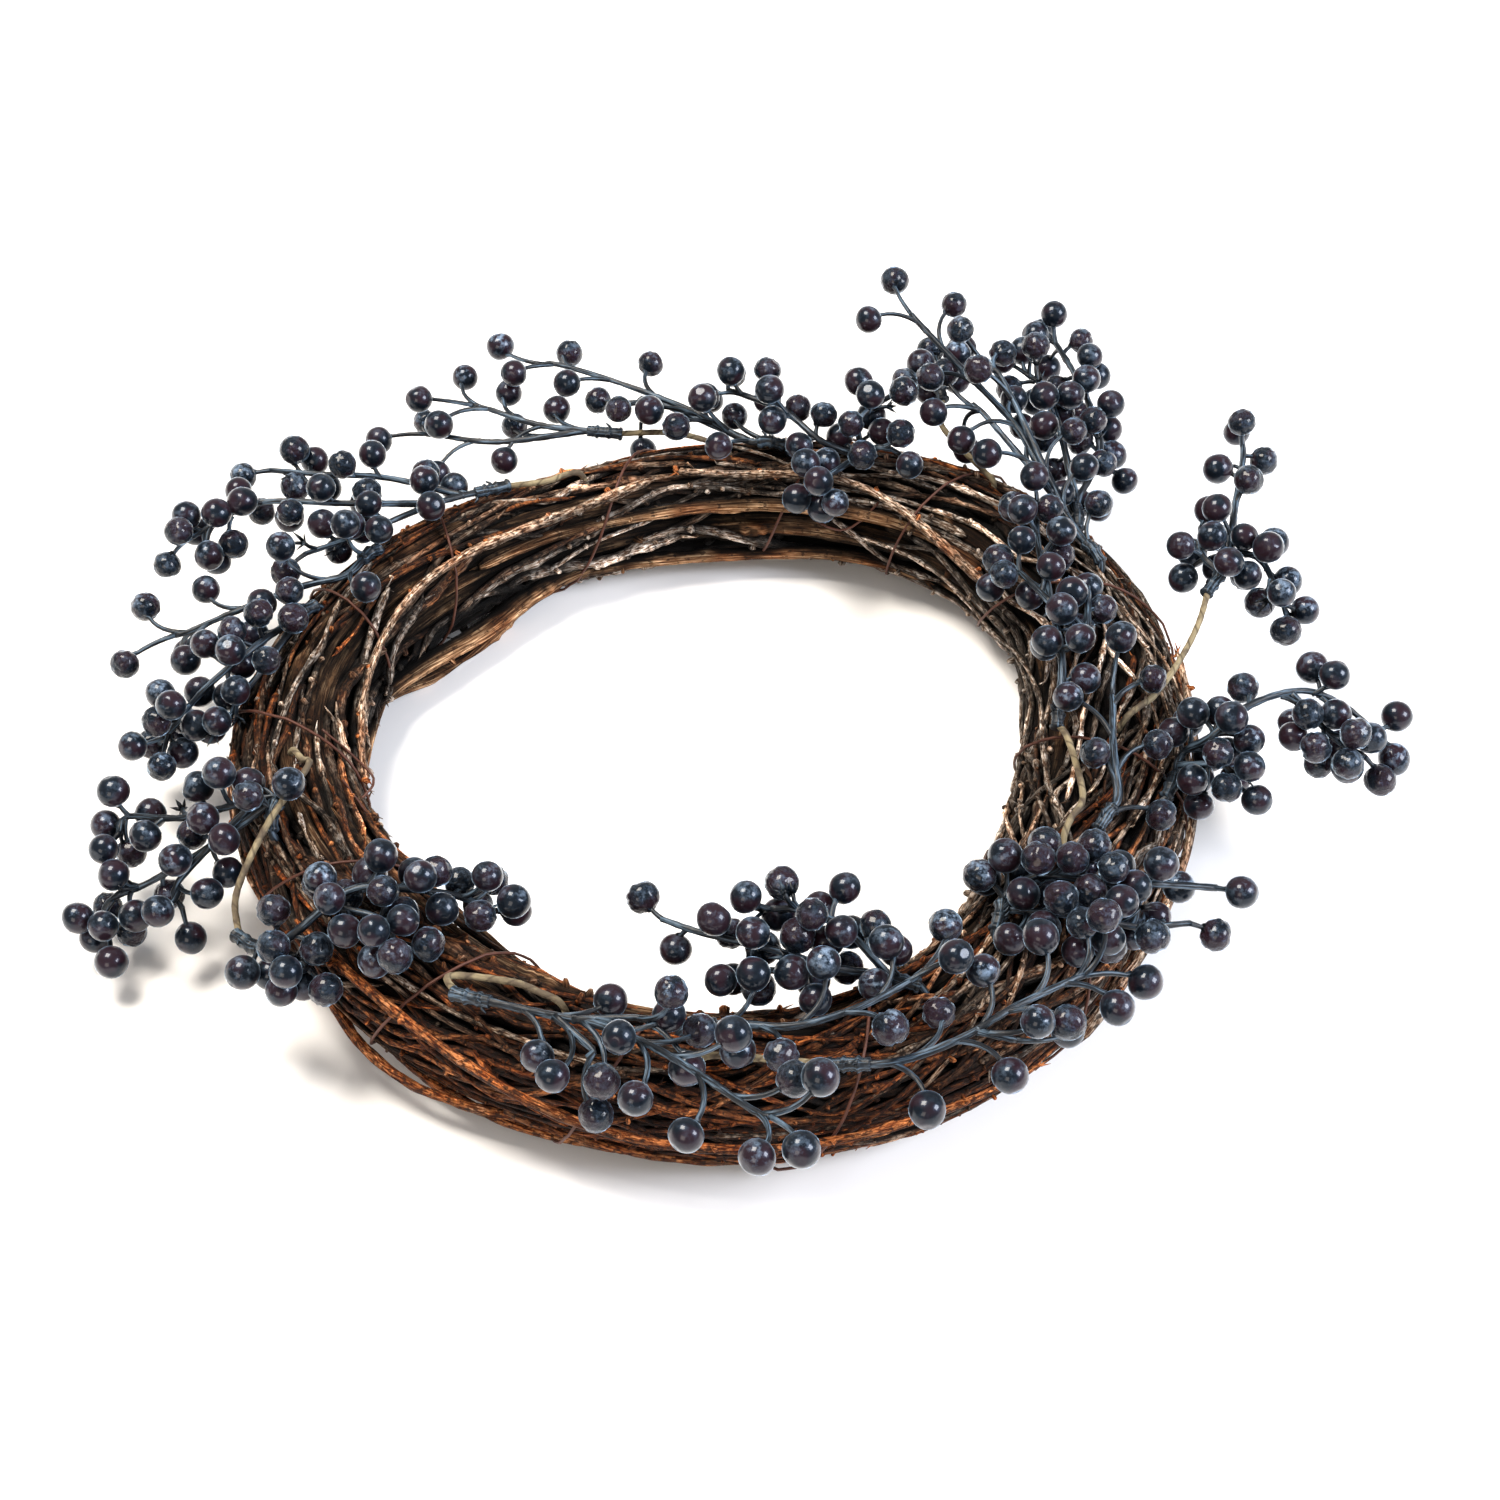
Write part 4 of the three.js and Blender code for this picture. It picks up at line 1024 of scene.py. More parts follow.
def foot_knot(form, angle):
    """A burl under the hoop, worn flat where the wreath rests on it."""
    centre = on_facets(angle, ridge_place(angle, -90), 0.0)
    centre[2] = FOOT_RADIUS - FOOT_CUT
    points, faces = bead(8, 12)
    rng = np.random.default_rng(angle)
    lumps = 1 + 0.08 * np.sin(points @ rng.uniform(-6, 6, 3) + 1) + 0.04 * rng.standard_normal(len(points))
    points = centre + points * lumps[:, None] * FOOT_RADIUS * 1.04
    points[:, 2] = np.maximum(points[:, 2], 0.0)
    form.add(points, faces, (3.0, float(angle), 0.6), 0.8)


def bead(rings, segments):
    """Points and faces of a round bead of radius 1, its ends on the Z axis."""
    down = np.pi * np.arange(1, rings) / rings
    turn = 2 * np.pi * np.arange(segments) / segments
    band = np.stack([np.outer(np.sin(down), np.cos(turn)), np.outer(np.sin(down), np.sin(turn)),
                     np.outer(np.cos(down), np.ones(segments))], axis=-1).reshape(-1, 3)
    points = np.vstack([band, [(0, 0, 1), (0, 0, -1)]])
    i, j = np.meshgrid(np.arange(rings - 2), np.arange(segments), indexing="ij")
    a, b = (i * segments + j).ravel(), (i * segments + (j + 1) % segments).ravel()
    j = np.arange(segments)
    last = (rings - 2) * segments
    top = np.stack([np.full(segments, len(band)), j, (j + 1) % segments], axis=1)
    bottom = np.stack([np.full(segments, len(band) + 1), last + (j + 1) % segments, last + j], axis=1)
    return points, [np.stack([a, a + segments, b + segments, b], axis=1), top, bottom]


def thin_stems():
    """Forms of the thin stems, with what each is called and made of."""
    names = ("under", "outside", "shoulder", "top")
    slots = ("red_bark", "red_bark", "brown_bark", "red_bark")
    for i, zone in enumerate(ZONES):
        form = zone_stems(zone, 31 + i)
        for crossing in CROSSINGS[i]:
            crossing_stems(form, *crossing)
        for angle in FOOT_ANGLES if i == 0 else ():
            foot_knot(form, angle)
        yield form, (f"vine_stems_{names[i]}", VINE_BARK, slots[i], f"vine_{i + 1}")
    yield inner_bundle(), ("inner_bundle", VINE_BARK, "brown_bark", "core_twigs")


def loose_line(stem, step=2.0):
    """The line of a loose stem, which sways from place to place over the wire."""
    first, last, place, end_place, settle = stem
    count = round((last - first) / step)
    t = np.linspace(0, 1, count + 1)
    places = place + (end_place - place) * t + LOOSE_SWAY * np.sin(t * LOOSE_WAVE)
    return on_hoop(first + (last - first) * t, places, LOOSE_LIFT - settle)


# Stems that bow out from the hoop's edge beside a loose one: first and last angle, place, and bow in mm
BOWED = {
    0: ((214, 250, -20, 7.5), (222, 262, -34, 4.0), (246, 276, -24, 0.5)),
    1: ((318, 352, -4, 4.0), (2, 24, 2, 4.0)),
}


BOWED_RADIUS = 1.8
BOWED_REDNESS = 0.75
ROOTED_UNDER = 2.5
LOOSE_JOINT_GAP = 24
LOOSE_REDDEST = 0.85
LOOSE_PALER = 0.4


def bowed_stem(form, rng, first, last, place, bow):
    """A stem that leaves the hoop's edge, bows out and comes back to it."""
    t = np.linspace(0, 1, round((last - first) * 1.2))
    lift = bow * np.sin(np.pi * t) ** 1.5 - ROOTED_UNDER
    path = on_hoop(first + (last - first) * t, place - 10 * t, lift)
    skin = rough_skin(rng, len(path), 8, 0.12, 1)
    # Painted light on the skin's bumps, painted shade in its dips and on the underside
    tube(form, path, BOWED_RADIUS * (1 + skin), 8, BOWED_REDNESS, 1 + 2 * skin,
         offset=rng.uniform(0, BARK_LENGTH), out=UP)


def loose_stems():
    """Loose stems that run over the wire. Two have others beside them that bow out from the hoop."""
    for i, stem in enumerate(LOOSE_STEMS):
        rng = np.random.default_rng(50 + i)
        form = Form()
        path = loose_line(stem)
        length = travelled(path)
        joints = joints_along(rng, length, LOOSE_JOINT_GAP)
        torn = np.minimum(1, 0.4 + np.minimum(length, length[-1] - length) / 8)
        taper = np.linspace(1, 0.68, len(path)) * torn
        skin = rough_skin(rng, len(path), 8, 0.1, 1)
        size = LOOSE_RADIUS * (swellings(rng, length, joints, 0.3) * taper)[:, None] * (1 + skin)
        tint = LOOSE_PALER if i else LOOSE_REDDEST
        # Painted light on the skin's bumps, painted shade in its dips and on the underside
        tube(form, path, size, 8, tint, 0.75 + 2 * skin, offset=100 * i, out=UP)
        tangent = unit(np.gradient(path, axis=0))
        for joint in joints:
            at = int(np.searchsorted(length, joint))
            stub(form, rng, path[at], sideways(tangent[at]) + UP, tangent[at], 1.5, 0.8, 1.0)
        splinters(form, rng, path[-1], tangent[-1], UP, 1.3, 0.8, 1.0)
        for first, last, place, bow in BOWED.get(i, ()):
            bowed_stem(form, rng, first, last, place, bow)
        yield form, (f"loose_stem_{i + 1}", VINE_BARK, "red_bark", f"loose_twig_{i + 1}")


# Binding wire: points a wrap, how slack it lies, how thin it is drawn, and the loops that have come loose on
# the hole's side, each with its angle, place and reach
WRAP_POINTS = 40
WIRE_LIFT = GAP + WIRE_RADIUS + 0.3
WIRE_SLACK = 0.35
WIRE_THINNER = 0.85
LOOP_THINNER = 0.75
WIRE_LOOPS = ((186, 150, 17), (196, 160, 8), (64, 165, 9))


def wire_line():
    """The binding wire: once round the section at each wrap, slanting on to the next wrap."""
    rng = np.random.default_rng(60)
    points = []
    for i, angle in enumerate(WIRE_WRAPS):
        onward = (*WIRE_WRAPS, WIRE_END)[i + 1]
        for part in np.arange(0, 1, 1 / WRAP_POINTS):
            slack = abs(WIRE_SLACK * rng.standard_normal() * (part > 0))
            at = angle + (onward - angle) * part
            points.append(on_hoop(at, TWIG_START + 360 * part, WIRE_LIFT + slack))
    return np.array(points)


def wire_loop(angle, place, reach):
    """A loop of slack wire: it leaves the skin, hangs towards the hole and sinks back under."""
    t = np.linspace(0, 1, 26)
    root = on_hoop(angle, place - 30, 1.0)
    inward = -unit(polar(angle, 1, 0) - polar(angle, 0, 0))
    ahead = np.cross(UP, -inward)
    hang = reach * np.sin(np.pi * t * 0.85)
    sink = 20 * t + 4 * np.sin(5 * t)
    return root + inward * hang[:, None] + ahead * (26 * t - 6)[:, None] - UP * sink[:, None]


def make_wire():
    """The wound wire and its loose loops."""
    form = Form()
    tube(form, wire_line(), WIRE_RADIUS * WIRE_THINNER, 6)
    rng = np.random.default_rng(61)
    for loop in WIRE_LOOPS:
        path = wire_loop(*loop)
        tube(form, path + 0.1 * rng.standard_normal(path.shape), WIRE_RADIUS * LOOP_THINNER, 6)
    piece("rusty_binding", form, RUSTED_WIRE, "rusty_wire", "binding_wire")


# Berry picks: lines and berries by the same rule as the solids, then the finer forms on them

def draws(seed):
    """Seeded numbers between 0 and 1, the same as the solids use."""
    state = seed
    while True:
        state = (state * 1664525 + 1013904223) % 2**32
        yield state / 2**32


def point_at(line, t):
    """Point at a share of the way along a line of points."""
    place = t * (len(line) - 1)
    i = min(math.floor(place), len(line) - 2)
    return line[i] + (line[i + 1] - line[i]) * (place - i)


def direction_at(line, t):
    """Direction of a line of points at a share of the way along it."""
    i = min(math.floor(t * (len(line) - 1)), len(line) - 2)
    return unit(line[i + 1] - line[i])


def cut_short(path, past_tip):
    """A path ends at its outermost berry, and the stem stops short of that."""
    length = float(np.linalg.norm(path[-1] - path[-2]))
    path[-1] = path[-1] + (path[-2] - path[-1]) * min(past_tip / length, LONGEST_CUT)
    return path


def stepped_up(line):
    """The line with a short step from its foot up to the height of the stems."""
    foot, after = line[0], line[1]
    step = foot + unit(after - foot) * FOOT_STEP
    return [foot, pushed_out(step, STEM_LIFT), *line[1:]]


def pick_lines(pick):
    """The lines of a pick's arms, and of its wrapped stalk if it has one."""
    _, _, (angle, place), stalk_points, arm_list = pick
    foot = on_facets(angle, ridge_place(angle, place), CLEAR + STEM_RADIUS)
    arms = []
    for _, leaves_at, path_points in arm_list:
        path = cut_short([polar(*point) for point in path_points], pick[1]["past_tip"])
        if leaves_at:
            path.insert(0, point_at(arms[0], leaves_at))
        elif not stalk_points:
            path.insert(0, foot)
        line = [path[0]] + [pushed_out(point, STEM_LIFT) for point in path[1:]]
        arms.append(stepped_up(line) if not leaves_at and not stalk_points else line)
    if not stalk_points:
        return arms, None
    stalk = [pushed_out(polar(*point), STEM_LIFT) for point in stalk_points]
    end = arms[0][0] - direction_at(arms[0], 0) * COLLAR_GAP
    return arms, stepped_up([foot, *stalk, end])


class Placed:
    """Stems, stalks and berries placed so far, as rods with round ends."""

    def __init__(self):
        self.rows = []

    def add(self, start, end, radius, owner, kind):
        self.rows.append((start, end, radius, owner, kind))

    def add_line(self, line, radius, end_radius, owner):
        for i in range(len(line) - 1):
            share = i / (len(line) - 1)
            self.add(line[i], line[i + 1], radius + (end_radius - radius) * share, owner, "stem")

    def gaps(self, points):
        """Distance from each point to the surface of each rod."""
        start = np.array([row[0] for row in self.rows])
        line = np.array([row[1] for row in self.rows]) - start
        radius = np.array([row[2] for row in self.rows])
        squared = (line**2).sum(axis=1)
        offset = np.asarray(points)[:, None] - start
        t = np.clip((offset * line).sum(axis=2) / np.where(squared > 0, squared, 1), 0, 1)
        return np.linalg.norm(offset - t[..., None] * line, axis=2) - radius


def fits(base, centre, owner, placed, near, over_ring):
    """True where a berry and its stalk clear the hoop, the surface below and everything placed."""
    if centre[2] < BERRY_RADIUS + 2 * GAP:
        return False
    if section_place(centre, BERRY_RADIUS + over_ring + CLEAR)[3] < 1:
        return False
    samples = [base + (centre - base) * t for t in FREE_STRETCH]
    if any(section_place(point, PEDICEL_RADIUS + over_ring)[3] < 1 for point in samples):
        return False
    own = np.array([row[3] == owner for row in placed.rows])
    stems = np.array([row[4] == "stem" for row in placed.rows])
    berries = np.array([row[4] == "berry" for row in placed.rows])
    gaps = placed.gaps([centre, *samples])
    if np.any(gaps[0] - BERRY_RADIUS < np.where(own & stems, -OWN_STEM_OVERLAP, near)):
        return False
    nearest = gaps[1:].min(axis=0) - PEDICEL_RADIUS
    return bool(np.all((own & ~berries) | (nearest >= near)))


def grown(line, share, turn_at, is_tip, habit, owner, draw, placed, near=CLEAR, over_ring=OVER_WIRE):
    """Finds room for a berry that leaves the stem at share, or gives None."""
    base = point_at(line, share)
    tangent = direction_at(line, share)
    side = sideways(tangent)
    lift = np.cross(side, tangent)
    for attempt in range(TRIES):
        wander = habit["wander"] + WIDER_EACH_TRY * attempt
        turn = math.radians(turn_at + (next(draw) - 0.5) * wander)
        lean = math.radians(TIP_LEAN if is_tip and attempt < TIP_TRIES else habit["lean"])
        reach = habit["reach"] + habit["spread"] * (next(draw) - SHORTER_SHARE)
        direction = (tangent * math.cos(lean) + side * math.sin(lean) * math.cos(turn)
                     + lift * math.sin(lean) * math.sin(turn))
        centre = base + direction * reach
        if fits(base, centre, owner, placed, near, over_ring):
            placed.add(centre, centre, BERRY_RADIUS, owner, "berry")
            placed.add(base, centre, PEDICEL_RADIUS, owner, "pedicel")
            return base, centre, tangent
    return None


def place_loose_stems(placed):
    """The loose stems as the solids have them, so that berries keep clear of them."""
    for first, last, place, end_place, settle in LOOSE_STEMS:
        steps = round((last - first) / 8)
        points = []
        for i in range(steps + 1):
            t = i / steps
            across = place + (end_place - place) * t + LOOSE_SWAY * math.sin(t * LOOSE_WAVE)
            points.append(on_facets(first + (last - first) * t, across, LOOSE_LIFT - settle))
        placed.add_line(points, LOOSE_RADIUS, LOOSE_RADIUS, "loose stem")


def first_berries(pick, arms, placed, number):
    """The berries that the solids have too, evenly along each arm."""
    name, habit, _, _, arm_list = pick
    draw = draws(number + 1)
    found = []
    for line, (count, _, _) in zip(arms, arm_list):
        for k in range(count):
            share = FIRST_BERRY + (LAST_BERRY - FIRST_BERRY) * k / (count - 1)
            is_tip = k == count - 1
            found.append(grown(line, share, k * habit["turn"], is_tip, habit, name, draw, placed))
    return [berry for berry in found if berry]


def more_berries(pick, arms, placed, number, count):
    """Berries too many for the solids, in the room that is left between and beyond the others."""
    seen, low, high = BERRIES_SEEN[pick[0]]
    wanted = seen - count
    habit = dict(pick[1])
    if pick[1] is FULL:
        habit.update(MORE_ROOM)
    draw = draws(MORE_SEED + number)
    found = []
    for attempt in range(MORE_TRIES * max(wanted, 0)):
        if len(found) >= wanted:
            break
        line = arms[attempt % len(arms)]
        habit["lean"] = MORE_LEAN + MORE_LEAN_SPREAD * next(draw)
        share = low + (high - low) * next(draw)
        berry = grown(line, share, 360 * next(draw), False, habit, pick[0], draw, placed,
                      near=-MORE_OVERLAP, over_ring=MORE_OVER_RING)
        if berry:
            found.append(berry)
    return found


def place_picks():
    """Every pick's arms, stalk and berries. All have their first berries before any has more."""
    placed = Placed()
    place_loose_stems(placed)
    lines = [pick_lines(pick) for pick in PICKS]
    for pick, (arms, stalk) in zip(PICKS, lines):
        for line in arms:
            placed.add_line(line, STEM_RADIUS, STEM_TIP, pick[0])
        if stalk:
            placed.add_line(stalk, STEM_RADIUS, STEM_RADIUS, pick[0] + " stalk")
    picks = list(enumerate(zip(PICKS, lines)))
    berries = [first_berries(pick, arms, placed, number) for number, (pick, (arms, _)) in picks]
    for number, (pick, (arms, _)) in picks:
        berries[number] += more_berries(pick, arms, placed, number, len(berries[number]))
    return lines, berries


# Kinds of berry, of which there are as many as shares: the wrinkled ones, the dented one, and how often each
# comes. Then how wrinkled and how dusty a berry is, and how many are the dustier ones
KIND_SHARES = (0.12, 0.13, 0.12, 0.12, 0.13, 0.12, 0.1, 0.11, 0.05)
WRINKLED_KINDS = (1, 4, 7)
DENTED_KIND = 8
WRINKLED = 1.0
NEARLY_SMOOTH = 0.06
DUSTIER_SHARE = 0.12
DUSTIER = (0.55, 0.85)
LESS_DUSTY = (0.02, 0.38)


def berry_shapes():
    """Unit berries, tip up: smooth, wrinkled and dented ones, each with a small pit at the tip."""
    points, faces = bead(13, 20)
    from_tip = np.arccos(np.clip(points[:, 2], -1, 1))
    pit = 0.11 * np.exp(-(from_tip / 0.17) ** 2)
    rim = 0.03 * np.exp(-((from_tip - 0.33) / 0.12) ** 2)
    shapes = []
    for kind in range(len(KIND_SHARES)):
        rng = np.random.default_rng(80 + kind)
        size = 1 - pit + rim
        for _ in range(3):
            size += 0.012 * np.sin(points @ rng.uniform(-3.5, 3.5, 3) + rng.uniform(0, 6))
        if kind in WRINKLED_KINDS:
            bend = 1.6 * np.sin(points @ rng.uniform(-3, 3, 3))
            folds = np.abs(np.sin(points @ (4.6 * unit(rng.standard_normal(3))) + bend))
            size -= 0.15 * (1 - folds) ** 2.5
        if kind == DENTED_KIND:
            middle = unit(np.array((0.8, 0.2, 0.4)))
            size -= 0.16 * np.exp(-(np.arccos(np.clip(points @ middle, -1, 1)) / 0.45) ** 2)
        shape = points * size[:, None]
        shape[:, 2] *= rng.uniform(0.93, 1.03)
        shapes.append(shape)
    return shapes, faces


BERRY_SHAPES, BERRY_FACES = berry_shapes()


def turned_to(direction, spin):
    """Rows that turn +Z to the direction, after a spin about it."""
    side = sideways(direction)
    other = np.cross(direction, side)
    x = side * math.cos(spin) + other * math.sin(spin)
    return np.stack([x, np.cross(direction, x), direction])


def add_berry(form, rng, centre, aim, radius):
    """A berry with its tip along aim, and the marks of its wrinkles and dust."""
    kind = rng.choice(len(KIND_SHARES), p=KIND_SHARES)
    shape = BERRY_SHAPES[kind]
    rows = turned_to(aim, rng.uniform(0, 2 * np.pi))
    marks = np.empty((len(shape), 3))
    marks[:, 0] = WRINKLED if kind in WRINKLED_KINDS else NEARLY_SMOOTH
    marks[:, 1] = 0
    marks[:, 2] = rng.uniform(*(DUSTIER if rng.random() < DUSTIER_SHARE else LESS_DUSTY))
    form.add(centre + (shape * radius) @ rows, BERRY_FACES, marks)


BRACT_FACES = np.array((
    (0, 1, 3), (0, 3, 2), (2, 3, 5), (0, 4, 1), (1, 4, 3), (0, 2, 4), (2, 5, 4), (3, 4, 5)))


def add_bracts(form, rng, root, aim, length, spread):
    """A star of five pointed bracts round the end of a short stalk, each a closed form of eight faces."""
    rows = turned_to(aim, rng.uniform(0, 2 * np.pi))
    for k in range(5):
        turn = 2 * np.pi * k / 5 + rng.uniform(-0.2, 0.2)
        out = rows[0] * math.cos(turn) + rows[1] * math.sin(turn)
        across = np.cross(aim, out)
        tip = root + out * length * spread + aim * length * rng.uniform(0.7, 1.0)
        middle = root + out * length * 0.45 + aim * length * 0.35
        points = np.array([
            root + out * 0.5 - across * 0.8, root + out * 0.5 + across * 0.8,
            middle - across * 0.75, middle + across * 0.75, middle + aim * 0.5 - out * 0.3, tip])
        form.add(points, [BRACT_FACES], (k * 1.3, 4.0 * k, 0.5))


def add_pedicel(form, rng, base, centre, tangent, radius, full):
    """A short curved stalk from the stem to the berry, and the direction in which it meets the berry."""
    reach = np.linalg.norm(centre - base)
    bend = base + tangent * reach * (0.25 if full else 0.45) + (centre - base) * 0.25
    t = np.linspace(0, 1, 9)[:, None]
    path = (1 - t) ** 2 * base + 2 * t * (1 - t) * bend + t**2 * centre
    aim = unit(centre - bend)
    inside = centre - aim * radius * 0.9
    keep = np.linalg.norm(path - centre, axis=1) > radius * 0.93
    path = np.vstack([path[keep], inside])
    size = PEDICEL_RADIUS * np.linspace(1.25, 0.95, len(path)) * rng.uniform(0.95, 1.1)
    size[-1] *= 1.35
    tube(form, path, size, 7, 0.5, offset=rng.uniform(0, BARK_LENGTH))
    return aim


def from_within(line):
    """The line with a start pushed in between the stems of the hoop."""
    foot = line[0]
    angle, out, up, _ = section_place(foot, 0)
    inwards = polar(angle, ring_radius(angle) + 0.7 * out, RING_HEIGHT + 0.7 * up) - foot
    return [foot + inwards - unit(line[1] - foot) * 4, *line]


def add_arm(form, rng, line):
    """A moulded stem with four ribs along it."""
    path = rounded(line, 2.2)
    ribs = 1 + 0.09 * np.cos(4 * 2 * np.pi * np.arange(ARM_SIDES) / ARM_SIDES)
    size = np.linspace(ARM_THINNER * STEM_RADIUS, STEM_TIP, len(path))
    size = size * (1 + 0.05 * rng.standard_normal(len(path)))
    tube(form, path, size[:, None] * ribs[None, :], ARM_SIDES, 0.5, offset=rng.uniform(0, BARK_LENGTH))


def add_collar(form, rng, line, overlap):
    """The moulded collar at a pick's foot: a dark sleeve with three rings and two hooks."""
    path = rounded(line, 0.5)
    path = path[travelled(path) < COLLAR_LENGTH]
    back = np.arange(overlap, 0, -0.5)[:, None]
    path = np.vstack([path[0] - unit(path[1] - path[0]) * back, path])
    length = travelled(path)
    rings = sum(np.exp(-((length - at) / 0.55) ** 2) for at in COLLAR_RINGS)
    wear = 1 + 0.04 * rng.standard_normal(len(path))
    size = (STEM_RADIUS + 0.55 + 0.6 * rings) * wear
    tube(form, path, size, 12, 0.0, 0.6, offset=rng.uniform(0, BARK_LENGTH))
    tangent = unit(path[-1] - path[0])
    for at in rng.uniform(0.3, 0.95, 2):
        root = path[int(at * len(path))]
        aim = unit(np.cross(tangent, rng.standard_normal(3)) + 0.3 * UP)
        hook = root + aim * np.array((1.4, 3.0, 4.0))[:, None] + tangent * np.array((0, 0.4, 1.8))[:, None]
        tube(form, hook, np.array((0.8, 0.6, 0.35)), 6, 0.0, 0.6)


def add_empty_star(form, rng, line):
    """A stalk whose berry is gone, with the bracts left on its end."""
    share = rng.uniform(0.45, 1.0)
    base, tangent = point_at(line, share), direction_at(line, share)
    aim = unit(tangent + 1.2 * unit(np.cross(tangent, rng.standard_normal(3))))
    end = base + aim * rng.uniform(6, 9)
    tube(form, np.array((base, (base + end) / 2 + tangent * 0.8, end)), PEDICEL_RADIUS, 6, 0.5)
    add_bracts(form, rng, end - aim * 0.6, aim, rng.uniform(3.6, 5.2), 0.9)


def make_stalk(name, stalk, number):
    """The wrapped end of a pick, with a slight bump at each turn of its tape."""
    form = Form()
    path = rounded(from_within(stalk), 1.2)
    bumps = 1 + 0.05 * np.sin(travelled(path) * 1.3)
    tube(form, path, TAPE_THINNER * STEM_RADIUS * bumps, 12, 0.5, offset=40.0 * number)
    piece(f"stalk_{name}_tape", form, PAPER_TAPE, "wrapped_stalk", f"stalk_{name}")


def make_pick(pick, arms, stalk, berries, number):
    """The stems and berries of one pick. Full ones have bracts at each berry and a few empty stalks."""
    name, habit, *_ = pick
    full = habit is FULL
    rng = np.random.default_rng(200 + number)
    stems = Form()
    fruit = Form()
    for i, line in enumerate(arms):
        add_arm(stems, rng, line if i or stalk else from_within(line))
    add_collar(stems, rng, arms[0], COLLAR_GAP + 2 if stalk else 0)
    for _ in range(EMPTY_STARS if full else 0):
        add_empty_star(stems, rng, arms[rng.integers(len(arms))])
    for base, centre, tangent in berries:
        radius = BERRY_RADIUS * rng.uniform(0.97, 1.09)
        aim = add_pedicel(stems, rng, base, centre, tangent, radius, full)
        add_berry(fruit, rng, centre, aim, radius)
        if full:
            add_bracts(stems, rng, centre - aim * radius * 1.02, aim, rng.uniform(3.6, 5.4), 0.95)
    piece(f"spray_{name}_stems", stems, STEM_PLASTIC, "dark_berry", f"spray_{name}")
    piece(f"spray_{name}_berries", fruit, BERRY_LACQUER, "dark_berry", f"spray_{name}")
    if stalk:
        make_stalk(name, stalk, number)


def make_picks():
    """Every pick's pieces."""
    lines, berries = place_picks()
    for number, (pick, (arms, stalk)) in enumerate(zip(PICKS, lines)):
        make_pick(pick, arms, stalk, berries[number], number)


def make_hoop():
    """All the stems of the hoop, with painted shade where they lie deep between others."""
    wound = [*branches(), *thin_stems()]
    relief = stem_relief([form for form, _ in wound])
    for form, (name, bark, slot, node) in (*wound, *loose_stems()):
        shade_between(form, relief)
        piece(name, form, bark, slot, node)


make_hoop()
make_wire()
make_picks()


# Floor, light and camera. Lengths here are in metres
FLOOR_HALF = 30.0

# Lamps: azimuth (0 the camera's side, 90 its left), elevation, distance, size, watts and colour
LAMPS = {
    "key": (110, 68, 1.9, 0.8, 62, "#fff6ea"),
    "fill": (-72, 36, 2.0, 0.8, 54, "#f1f5ff"),
    "front": (25, 28, 2.0, 0.8, 10, "#ffeddb"),
}
SKY_STRENGTH = 0.46

# The photograph's view, solved from the ring. Its focal length and middle are in pixels of its full width
CAMERA_ELEVATION = 45.8
CAMERA_DISTANCE = 0.942
AIM = (RING_CENTRE[0] - 6.2, RING_CENTRE[1] - 3.2, 26.0)
PHOTO_WIDTH = 1500
FOCAL_PIXELS = 2573
MIDDLE_PIXELS = (696.2, 761.2)
SENSOR_MM = 36


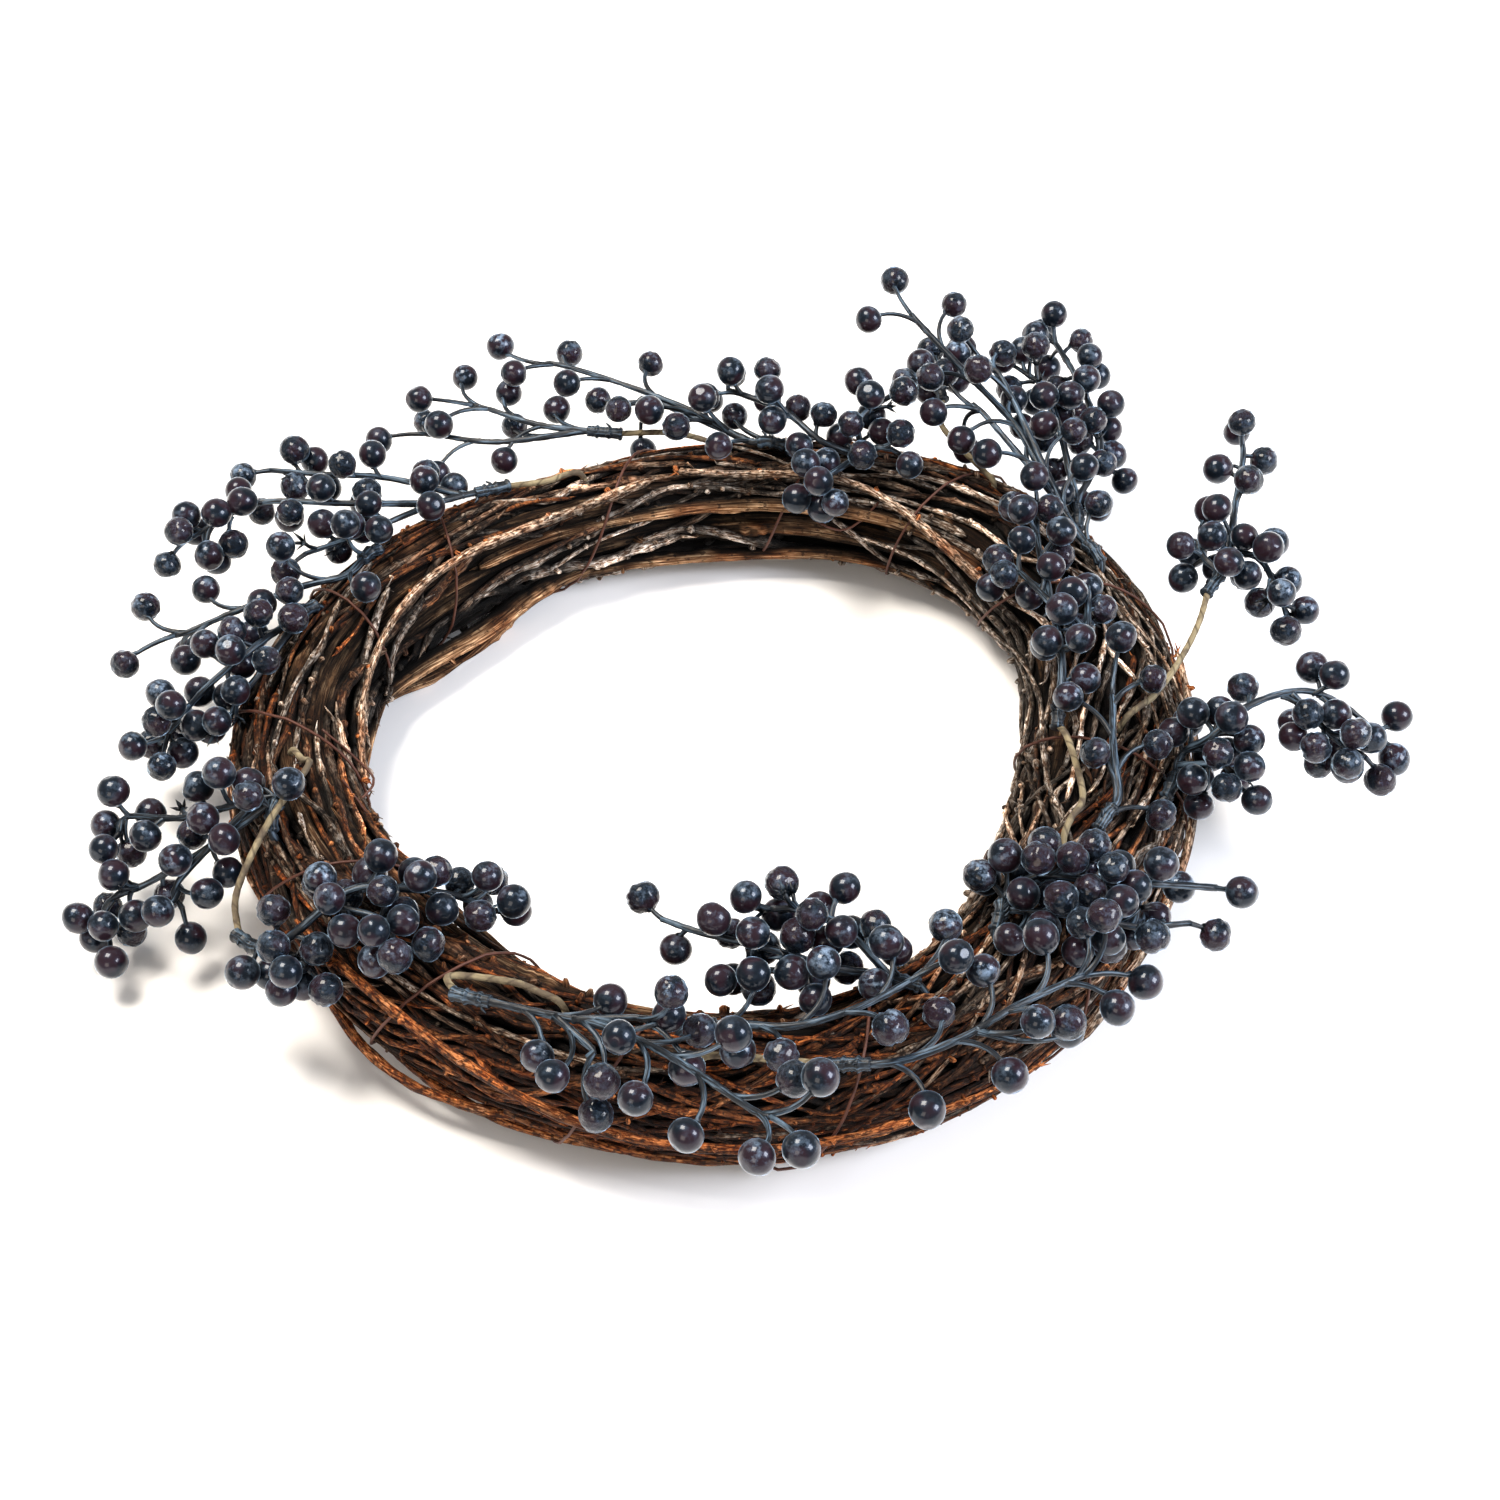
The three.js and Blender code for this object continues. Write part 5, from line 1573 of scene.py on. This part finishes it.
def make_floor():
    """A wide sheet of matt white paper: even and without gloss, so that it only takes soft shadows."""
    mesh = bpy.data.meshes.new("floor")
    half = FLOOR_HALF
    corners = [(-half, -half, 0), (half, -half, 0), (half, half, 0), (-half, half, 0)]
    mesh.from_pydata(corners, [], [(0, 1, 2, 3)])
    material, tree = new_material("matt_white_paper")
    shader = tree.nodes["Principled BSDF"]
    shader.inputs["Base Color"].default_value = linear("#f4f4f4")
    shader.inputs["Roughness"].default_value = 0.9
    mesh.materials.append(material)
    floor = bpy.data.objects.new("floor", mesh)
    bpy.context.scene.collection.objects.link(floor)


def look_along(direction):
    """Rotation of a lamp or camera that looks in that direction, upright."""
    x, y, z = direction
    return (math.acos(-z), 0.0, math.atan2(-x, y))


def area_light(name, azimuth, elevation, distance, size, watts, colour):
    """A square lamp that looks at the wreath's middle."""
    lamp = bpy.data.lights.new(name, "AREA")
    lamp.size = size
    lamp.energy = watts
    lamp.color = linear(colour)[:3]
    made = bpy.data.objects.new(name, lamp)
    a, e = math.radians(azimuth), math.radians(elevation)
    back = np.array((-math.sin(a) * math.cos(e), -math.cos(a) * math.cos(e), math.sin(e)))
    made.location = back * distance
    made.rotation_euler = look_along(-back)
    bpy.context.scene.collection.objects.link(made)


def make_lights():
    """An even white sky, and the lamps."""
    world = bpy.data.worlds.new("studio")
    world.use_nodes = True
    sky = world.node_tree.nodes["Background"]
    sky.inputs["Color"].default_value = linear("#ffffff")
    sky.inputs["Strength"].default_value = SKY_STRENGTH
    bpy.context.scene.world = world
    for name, lamp in LAMPS.items():
        area_light(name, *lamp)


def make_camera():
    """A camera on the near side, above the wreath, shifted as the photograph is cropped."""
    elevation = math.radians(CAMERA_ELEVATION)
    back = np.array((0.0, -math.cos(elevation), math.sin(elevation)))
    camera = bpy.data.cameras.new("camera")
    camera.sensor_width = SENSOR_MM
    camera.lens = FOCAL_PIXELS * SENSOR_MM / PHOTO_WIDTH
    camera.shift_x = (PHOTO_WIDTH / 2 - MIDDLE_PIXELS[0]) / PHOTO_WIDTH
    camera.shift_y = (MIDDLE_PIXELS[1] - PHOTO_WIDTH / 2) / PHOTO_WIDTH
    camera.clip_start = 0.05
    made = bpy.data.objects.new("camera", camera)
    made.location = np.array(AIM) * MM + back * CAMERA_DISTANCE
    made.rotation_euler = look_along(-back)
    bpy.context.scene.collection.objects.link(made)
    bpy.context.scene.camera = made


make_floor()
make_lights()
make_camera()
bpy.context.scene.view_settings.view_transform = "Standard"
